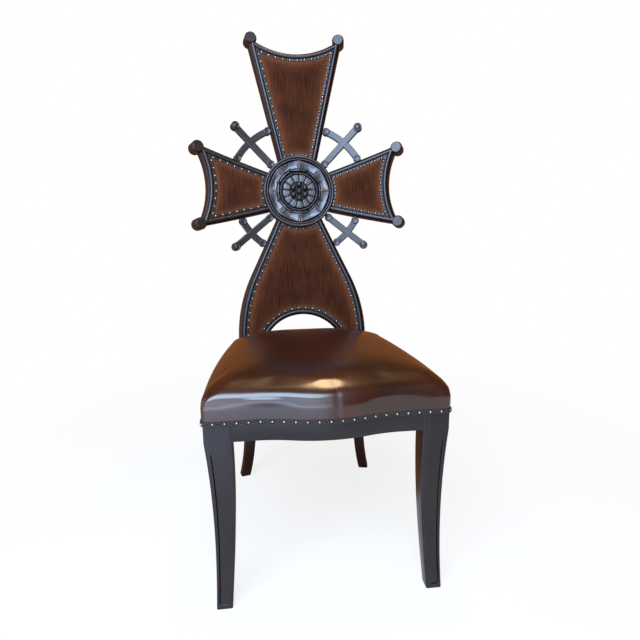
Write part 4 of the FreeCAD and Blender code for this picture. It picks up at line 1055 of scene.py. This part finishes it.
sideDrop = (seatPlan["widthFront"] - seatPlan["widthRear"]) / 2
sideTurn = math.atan2(sideDrop, seatPlan["depth"])
sideRadius = math.hypot(sideDrop, seatPlan["depth"]) / (2 * math.sin(sideTurn))
sideCentre = seatPlan["widthFront"] / 2 - sideRadius
bowRadius = (seatPlan["bowHalf"] ** 2 + seatPlan["bowDepth"] ** 2) / (4 * seatPlan["bowDepth"])
seatCorners = dict(front=6.0, rear=1.0, frontCrown=40.0, rearCrown=165.0)


def sideX(y, grow):
    return sideCentre + math.sqrt((sideRadius + grow) ** 2 - (y - seatFront) ** 2)


def frontY(x, grow):
    x = abs(x)
    half = seatPlan["bowHalf"]
    if x > half:
        return seatFront - grow
    if x > half / 2 * (bowRadius + grow) / bowRadius:
        return seatFront - bowRadius + math.sqrt((bowRadius - grow) ** 2 - (x - half) ** 2)
    return seatFront - seatPlan["bowDepth"] + bowRadius - math.sqrt((bowRadius + grow) ** 2 - x * x)


def rounded(corner, along, inward, run, radius):
    # Point on a corner arc, for a point that lies a run along one side from the sharp corner
    turn = (1 - run / radius) * math.pi / 4
    return corner + along * (radius - radius * math.sin(turn)) + inward * (radius - radius * math.cos(turn))


def planPoint(a, b, grow, rise=0.0):
    # Seat outline at a share of the crown's rise: a runs across, b from front to rear, both from -1 to 1
    front, rear = seatFront - grow, seatRear + grow
    end = "front" if b < 0 else "rear"
    radius = seatCorners[end] + grow + seatCorners[end + "Crown"] * rise
    endY = front if b < 0 else rear
    corner = Vector((sideX(endY, grow), endY))
    back = Vector((sideX(corner.y - 1, grow) - corner.x, -1)).normalized()
    alongSide = Vector((0, 1)) if b < 0 else back
    alongEnd = Vector((-1, 0))
    if abs(b) >= abs(a):
        run = corner.x * (1 - abs(a))
        x = corner.x - run
        point = Vector((x, rear))
        if b < 0:
            calm = front - seatPlan["crownBow"] * max(0.0, 1 - (x / (corner.x - radius)) ** 2) ** 2
            point.y = frontY(x, grow) * (1 - rise) + calm * rise
        if run < radius:
            point = rounded(corner, alongEnd, alongSide, run, radius)
    else:
        y = planMiddle + b * (rear - planMiddle if b > 0 else planMiddle - front)
        run = abs(y - corner.y)
        point = Vector((sideX(y, grow), y))
        if run < radius:
            point = rounded(corner, alongSide, alongEnd, run, radius)
    return Vector((-point.x if a < 0 else point.x, point.y))


# Seat rails with eased edges

def railSection(outer, inner):
    low, high, ease = railForm["bottom"], railForm["top"] - railForm["gap"], railForm["ease"]
    inward = math.copysign(1, inner - outer)
    return [(outer + inward * ease, low), (outer + inward * 0.6, low + 0.5), (outer, low + ease),
            (outer, (low + high) / 2), (outer, high), (inner, high), (inner, low + ease),
            (inner - inward * ease, low)]


def frontRail(steps=56):
    end = seatPlan["widthFront"] / 2 - frontLeg["topWidth"] + railForm["lap"]
    back = seatFront + railForm["thick"]
    rings = []
    for x in evenly(-end, end, steps):
        rings.append([Vector((x, y, z)) for y, z in railSection(frontY(x, 0), back)])
    woodPiece("frontSeatRail", [loft(rings, recess=evenlyDarkened)])


def sideRail(sign, word, steps=40):
    start = seatFront + frontLeg["topDepth"] - railForm["lap"]
    end = max(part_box("rear_leg_right")[0].y / mm, seatRear + railForm["past"])
    rings = []
    for y in evenly(start, end, steps):
        section = railSection(sideX(y, 0), sideX(y, -railForm["thick"]))
        rings.append([Vector((sign * x, y, z)) for x, z in section])
    woodPiece("sideSeatRail_" + word, [loft(rings, recess=evenlyDarkened)])


frontRail()
for sign, word in sides:
    sideRail(sign, word)
print("legs and rails made")


# Seat trim band and its nails
bandForm = dict(low=392.5, high=401.5, inner=2.9, outer=4.4, cord=0.5, cordWidth=1.9, nailHeight=397.2,
                sideSteps=40, frontSteps=60, cornerRuns=[0.0, 1.0, 2.0, 3.2, 4.6, 6.2, 8.0, 10.5, 14.0])
onSide = 0.9999999  # just less than 1, so that planPoint stays on the side up to the corner


def bandLine(grow):
    # From the rear of the right side round the front to the rear of the left side
    corner, steps = bandForm["cornerRuns"], bandForm["frontSteps"]
    reach = seatPlan["depth"] / 2 + grow
    half = seatPlan["widthFront"] / 2 + grow
    stop = (seatRear - backForm["railCover"] - planMiddle) / reach
    side = evenly(stop, corner[-1] / reach - 1, bandForm["sideSteps"])[:-1]
    side += [-1 + run / reach for run in corner[::-1]]
    front = [1 - run / half for run in corner[1:]]
    front += evenly(front[-1], -front[-1], steps)[1:-1] + [-a for a in front[::-1]]
    right = [planPoint(onSide, b, grow) for b in side]
    return right + [planPoint(a, -1, grow) for a in front] + mirrored(right[::-1])


def seatBand():
    low, high = bandForm["low"], bandForm["high"]
    a, b, cord, wide = (bandForm[key] for key in ("inner", "outer", "cord", "cordWidth"))
    edge = [(a, 0), (b, 0), (b + cord, 0.9), (b, wide)]
    section = [(grow, low + z) for grow, z in edge] + [(b - 0.2, (low + high) / 2)]
    section += [(grow, high - z) for grow, z in edge[::-1]]
    columns = [bandLine(grow) for grow, z in section]
    rings = []
    for points in zip(*columns):
        rings.append([Vector((p.x, p.y, z)) for p, (grow, z) in zip(points, section)])
    makePiece("seatTrimBand", [loft(rings)], bandFinish)
    flat = bandLine(b)
    normals = []
    for before, after in zip(flat[:1] + flat, flat[1:] + flat[-1:]):
        way = after - before
        normals.append(Vector((way.y, -way.x, 0)).normalized())
    points = [Vector((p.x, p.y, bandForm["nailHeight"])) for p in flat]
    trimPieces("seat", [trimShells(points, normals, False, nailSets["seat"])])


seatBand()
print("seat band nailed")


# Padded pieces: closed grids, swollen by cloth under pressure with their margins held

def gridFaces(bm, grid):
    for low, high in zip(grid, grid[1:]):
        for j in range(len(low) - 1):
            bm.faces.new((low[j], low[j + 1], high[j + 1], high[j]))


def ringFaces(bm, first, second):
    for k in range(len(first)):
        m = (k + 1) % len(first)
        bm.faces.new((first[k], first[m], second[m], second[k]))


def borderOf(grid):
    # Places round the edge of a grid
    count, wide = len(grid), len(grid[0])
    border = [(0, j) for j in range(wide)] + [(i, wide - 1) for i in range(1, count)]
    border += [(count - 1, j) for j in range(wide - 2, -1, -1)]
    return border + [(i, 0) for i in range(count - 2, 0, -1)]


def paddedPiece(name, bm, material, nodes, form):
    piece = makePiece(name, [bm], material, "cloth", nodes)
    piece.vertex_groups.new(name="held")
    return piece, form


clothForm = dict(frames=20, quality=6, mass=0.3)


def swell(pieces):
    scene = bpy.context.scene
    for piece, form in pieces:
        cloth = piece.modifiers.new("swell", "CLOTH")
        cloth.settings.quality = clothForm["quality"]
        cloth.settings.mass = clothForm["mass"]
        cloth.settings.use_pressure = True
        cloth.settings.uniform_pressure_force = form["pressure"]
        cloth.settings.vertex_group_mass = "held"
        cloth.settings.effector_weights.gravity = 0
        cloth.point_cache.frame_start = 1
        cloth.point_cache.frame_end = clothForm["frames"]
    for step in range(1, clothForm["frames"] + 1):
        scene.frame_set(step)
    graph = bpy.context.evaluated_depsgraph_get()
    for piece, form in pieces:
        moved = [v.co.copy() for v in piece.evaluated_get(graph).data.vertices]
        piece.modifiers.clear()
        for vert, target in zip(piece.data.vertices, moved):
            shift = target - vert.co
            vert.co += shift * min(1.0, form["cap"] * mm / max(shift.length, 1e-9))
    scene.frame_set(1)


# Velvet pads of the back
padForm = dict(edge=17.0, rear=3.6, margin=1.2, crown=9.5, endCrown=3.5, start=0.62, ramp=14.0,
               pressure=4.0, cap=6.0, fill=0.85, rows=44, columns=34, hold=1.0, bend=1.2, edgeSheenRun=9.0)


def smoothStep(value):
    value = min(1.0, max(0.0, value))
    return value * value * (3 - 2 * value)


def coons(low, high, first, last):
    # Patch between two long edges and two end edges, all lists of 2-D points
    count, wide = len(low), len(first)
    grid = []
    for i in range(count):
        t = i / (count - 1)
        row = []
        for j in range(wide):
            w = j / (wide - 1)
            p = low[i] * (1 - w) + high[i] * w + first[j] * (1 - t) + last[j] * t
            p -= (low[0] * (1 - w) + high[0] * w) * (1 - t) + (low[-1] * (1 - w) + high[-1] * w) * t
            row.append(p)
        grid.append(row)
    return grid


def spread(points, count):
    # The same line with evenly spaced points
    far = runs(points)
    made = []
    k = 0
    for n in range(count):
        want = far[-1] * n / (count - 1)
        while k < len(far) - 2 and far[k + 1] < want:
            k += 1
        made.append(points[k].lerp(points[k + 1], (want - far[k]) / (far[k + 1] - far[k])))
    return made


def velvetPad(place, edges, sign=1, openEnd=False):
    low, high, first, last = edges
    rows, columns = padForm["rows"], padForm["columns"]
    grid = coons(spread(low, rows), spread(high, rows), spread(first, columns), spread(last, columns))
    width = moulding["show"] + moulding["gimp"] - padForm["edge"]
    length = (grid[-1][columns // 2] - grid[0][columns // 2]).length
    bm = bmesh.new()
    held = bm.verts.layers.deform.verify()
    bent = bm.verts.layers.float.new("bent")
    front = []
    for row in grid:
        half = (row[-1] - row[0]).length / 2
        front.append([])
        for j, p in enumerate(row):
            side = min((p - row[0]).length, (row[-1] - p).length)
            ends = [(p - grid[0][j]).length, (grid[-1][j] - p).length]
            if openEnd:
                ends[1] = (p - archCentre).length - lowerSizes["arch"] - padForm["edge"]
            border = min(side, *ends)
            across = min(1.0, max(0.0, (side - width) / max(1.0, half - width)))
            t = min(ends[0], length if openEnd else ends[1]) / (length / 2)
            least = padForm["endCrown"]
            crown = least + (padForm["crown"] - least) * (1 - (1 - min(1, t)) ** 2)
            swollen = math.sqrt(max(0.0, 1 - (1 - across) ** 2))
            rise = crown * swollen * smoothStep((border - width) / padForm["ramp"])
            vert = bm.verts.new(onBack(sign * p.x, p.y, padForm["margin"] - rise * padForm["start"]) * mm)
            vert[held][0] = 1.0 if border < width + padForm["hold"] else 0.0
            # Painted sheen that fades in from the pad's edge
            vert[bent] = padForm["bend"] * math.exp(-max(0.0, border - width) / padForm["edgeSheenRun"])
            front[-1].append(vert)
    rear = [[bm.verts.new(onBack(sign * p.x, p.y, padForm["rear"]) * mm) for p in row] for row in grid]
    for row in rear:
        for vert in row:
            vert[held][0] = 1.0
    gridFaces(bm, front)
    gridFaces(bm, rear)
    border = borderOf(front)
    ringFaces(bm, [front[i][j] for i, j in border], [rear[i][j] for i, j in border])
    nodes = [place + "_velvet", place + "_pad_foam"]
    return paddedPiece("velvetPad_" + place, bm, velvetFinish, nodes, padForm)


edge = padForm["edge"]
left, right, hub = lowerEdges(edge)
arch = [left[-1]] + archLine(edge)[::-1] + [right[-1]]
softPieces = [
    velvetPad("upper", armEdges(upperArm, edge)),
    velvetPad("right", armEdges(sideArm, edge)),
    velvetPad("left", armEdges(sideArm, edge), -1),
    velvetPad("lower", (left, right, hub, arch), 1, True),
]
print("velvet pads cut")


# Leather seat: a crowned cover that stands over the rails, with a skirt behind the band
seatForm = dict(top=486.0, fullness=3.0, grow=2.8, inner=0.5, start=0.97, deck=432.8, pressure=4.0, cap=2.4,
                fill=0.9, steps=30, skirt=6)


def crownRows():
    count = seatForm["steps"]
    power = 2 / seatForm["fullness"]
    rows = []
    for i in range(-count, count + 1):
        row = []
        for j in range(-count, count + 1):
            ring = max(abs(i), abs(j))
            turn = math.pi / 2 * (1 - ring / count)
            shrink = max(0.0, math.cos(turn)) ** power
            rise = math.sin(turn) ** power
            a, b = (j / ring, i / ring) if ring else (0, -1)
            p = planPoint(a, b, seatForm["grow"], rise)
            high = railForm["top"] + rise * (seatForm["top"] - railForm["top"]) * seatForm["start"]
            row.append(Vector((p.x * shrink, planMiddle + (p.y - planMiddle) * shrink, high)))
        rows.append(row)
    return rows


def seatSkirt(bm, held, grid):
    # Outer skirt down to the band, a turned-in hem, and the underside on the deck
    border = borderOf(grid)
    middle = len(grid) // 2
    levels = [(seatForm["grow"], drop) for drop in evenly(0, 1, seatForm["skirt"])[1:]]
    levels += [(seatForm["inner"], 1.0), (seatForm["inner"], 0.0)]
    last = [grid[i][j] for i, j in border]
    for grow, drop in levels:
        ring = []
        for i, j in border:
            p = planPoint((j - middle) / middle, (i - middle) / middle, grow)
            low, high = railForm["leather"], railForm["top"] if grow > seatForm["inner"] else seatForm["deck"]
            if p.y >= seatRear - backForm["railCover"]:
                low, high = railForm["top"] - railForm["gap"], railForm["top"]
            vert = bm.verts.new(Vector((p.x, p.y, high + (low - high) * drop)) * mm)
            vert[held][0] = 1.0
            ring.append(vert)
        ringFaces(bm, last, ring)
        last = ring
    bm.faces.new(last)


def leatherSeat():
    bm = bmesh.new()
    held = bm.verts.layers.deform.verify()
    grid = [[bm.verts.new(p * mm) for p in row] for row in crownRows()]
    for i, j in borderOf(grid):
        grid[i][j][held][0] = 1.0
    gridFaces(bm, grid)
    seatSkirt(bm, held, grid)
    return paddedPiece("leatherSeat", bm, leatherFinish, ["seat_leather", "seat_foam"], seatForm)


softPieces.append(leatherSeat())
swell(softPieces)
for piece, form in softPieces:
    finer = piece.modifiers.new("finer", "SUBSURF")
    finer.levels = 1
    finer.render_levels = 1
    piece.vertex_groups.clear()
print("padded pieces swollen")


# Solids that stay as they are, each with its own finish
arms = ("upper", "lower", "left", "right")
kept = {
    frameTimber: ["rail_dowels", "corner_blocks"] + [arm + "_pad_board" for arm in arms],
    darkTimber: ["rear_seat_rail"],
    backClothFinish: [arm + "_back_panel" for arm in arms],
    dustClothFinish: ["dust_sheet"],
    webbingFinish: ["seat_webbing"],
    screwFinish: ["corner_screws"],
}
for material, names in kept.items():
    for name in names:
        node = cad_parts[name]
        node.data.materials.clear()
        node.data.materials.append(material)


# Floor, light and camera

def studioRays(tree):
    # 1 where the studio is seen or mirrored, 0 where it only lights the chair
    paths = addNode(tree, "ShaderNodeLightPath").outputs
    seen = {0: paths["Is Camera Ray"], 1: paths["Is Glossy Ray"]}
    seen = {0: addNode(tree, "ShaderNodeMath", seen, operation="MAXIMUM"), 1: paths["Is Transmission Ray"]}
    return addNode(tree, "ShaderNodeMath", seen, operation="MAXIMUM")


def addPanels(name, corners, faces, material):
    mesh = bpy.data.meshes.new(name)
    mesh.from_pydata(corners, [], faces)
    mesh.materials.append(material)
    panels = linked(name, mesh)
    return panels


def addFloor():
    # Pale and matt, glowing white away from the chair, so only a faint shadow stays
    form = dict(size=12.0, drop=0.0005, colour="#f4f3f1", near=0.4, far=1.6, nearGlow=0.82)
    material, tree, spot = newMaterial("paleFloor")
    surfaced(material, {"Base Color": form["colour"], "Roughness": 0.9})
    glow = addNode(tree, "ShaderNodeEmission", {"Color": "#ffffff", "Strength": 1.0})
    away = addNode(tree, "ShaderNodeVectorMath", {0: spot}, operation="LENGTH")
    pale = addNode(tree, "ShaderNodeMapRange", {
        "Value": away, "From Min": form["near"], "From Max": form["far"], "To Min": form["nearGlow"]})
    share = addNode(tree, "ShaderNodeMath", {0: studioRays(tree), 1: pale}, operation="MULTIPLY")
    mix = addNode(tree, "ShaderNodeMixShader", {0: share, 1: tree.nodes["Principled BSDF"], 2: glow})
    setInputs(tree, tree.nodes["Material Output"], {"Surface": mix})
    s = form["size"]
    floor = addPanels("floor", [(-s, -s, 0), (s, -s, 0), (s, s, 0), (-s, s, 0)], [(0, 1, 2, 3)], material)
    floor.location.z = -form["drop"]


def addFlags():
    # Brown studio flags behind, above and to the right: only the shine shows them, so the sides stay deep
    form = dict(colour="#99623a", left=-3.0, right=2.4, rear=1.5, front=-2.4, low=0.0, high=2.9, gap=0.6)
    material, tree, spot = newMaterial("brownFlag")
    colour, left, right, rear, front, low, high, gap = form.values()
    glow = addNode(tree, "ShaderNodeEmission", {"Color": colour, "Strength": 1.0})
    setInputs(tree, tree.nodes["Material Output"], {"Surface": glow})
    corners = [(left, rear, low), (right, rear, low), (right, front, low), (left, rear, high),
               (right, rear, high), (right, front, high), (left, front, high), (left, 0, low),
               (right, 0, low), (gap, front, low), (gap, front, high)]
    faces = [(0, 1, 4, 3), (1, 2, 5, 4), (3, 4, 5, 6), (7, 8, 1, 0), (2, 9, 10, 5)]
    flags = addPanels("flags", corners, faces, material)
    flags.visible_camera = False
    flags.visible_diffuse = False
    flags.visible_shadow = False


def addWorld():
    # White where it is seen, a dim cool room where it only lights the chair
    form = dict(seen="#ffffff", room="#f1f2f5", roomStrength=0.26)
    world = bpy.data.worlds.new("studio")
    bpy.context.scene.world = world
    world.use_nodes = True
    tree = world.node_tree
    tree.nodes.clear()
    white = addNode(tree, "ShaderNodeBackground", {"Color": form["seen"], "Strength": 1.0})
    room = addNode(tree, "ShaderNodeBackground", {"Color": form["room"], "Strength": form["roomStrength"]})
    mix = addNode(tree, "ShaderNodeMixShader", {0: studioRays(tree), 1: room, 2: white})
    addNode(tree, "ShaderNodeOutputWorld", {"Surface": mix})


lamps = dict(
    window=dict(place=(-0.62, -1.5, 2.02), aim=(0, 0, 0.7), size=(1.7, 1.25), power=92.0, colour="#c6e1ff"),
    wall=dict(place=(-0.7, -1.9, 0.62), aim=(0, 0, 0.6), size=(2.0, 1.2), power=24.0, colour="#c3d6fb"),
    low=dict(place=(-0.55, -1.3, 0.24), aim=(-0.35, 0, 0.45), size=(1.3, 0.44), power=5.0, colour="#b9d2ff"),
    ceiling=dict(place=(0.22, 0.22, 2.5), aim=(0, -0.1, 0.4), size=(0.4, 0.34), power=12.5, colour="#ffd9a8"),
)


def addLamps():
    for name, form in lamps.items():
        data = bpy.data.lights.new(name, "AREA")
        data.shape = "RECTANGLE"
        data.size, data.size_y = form["size"]
        data.energy = form["power"]
        data.color = linear(form["colour"])[:3]
        lamp = linked(name, data)
        lamp.location = form["place"]
        way = Vector(form["aim"]) - lamp.location
        lamp.rotation_euler = way.to_track_quat("-Z", "Y").to_euler()


# The camera that was fitted to the photo
photoView = dict(place=(-140.4, -1290.2, 793.3), yaw=7.308, pitch=11.692, roll=-0.502, focal=517.81,
                 frame=640.0)


def addCamera():
    data = bpy.data.cameras.new("photoCamera")
    data.sensor_width = 36.0
    data.lens = photoView["focal"] * data.sensor_width / photoView["frame"]
    camera = linked("photoCamera", data)
    matrix = Matrix.Translation(Vector(photoView["place"]) * mm)
    for axis, turn in (("Z", -photoView["yaw"]), ("X", 90 - photoView["pitch"]), ("Z", photoView["roll"])):
        matrix = matrix @ Matrix.Rotation(math.radians(turn), 4, axis)
    camera.matrix_world = matrix
    bpy.context.scene.camera = camera


addFloor()
addFlags()
addWorld()
addLamps()
addCamera()
bpy.context.scene.view_settings.view_transform = "Standard"
print("stage, lamps and camera set")
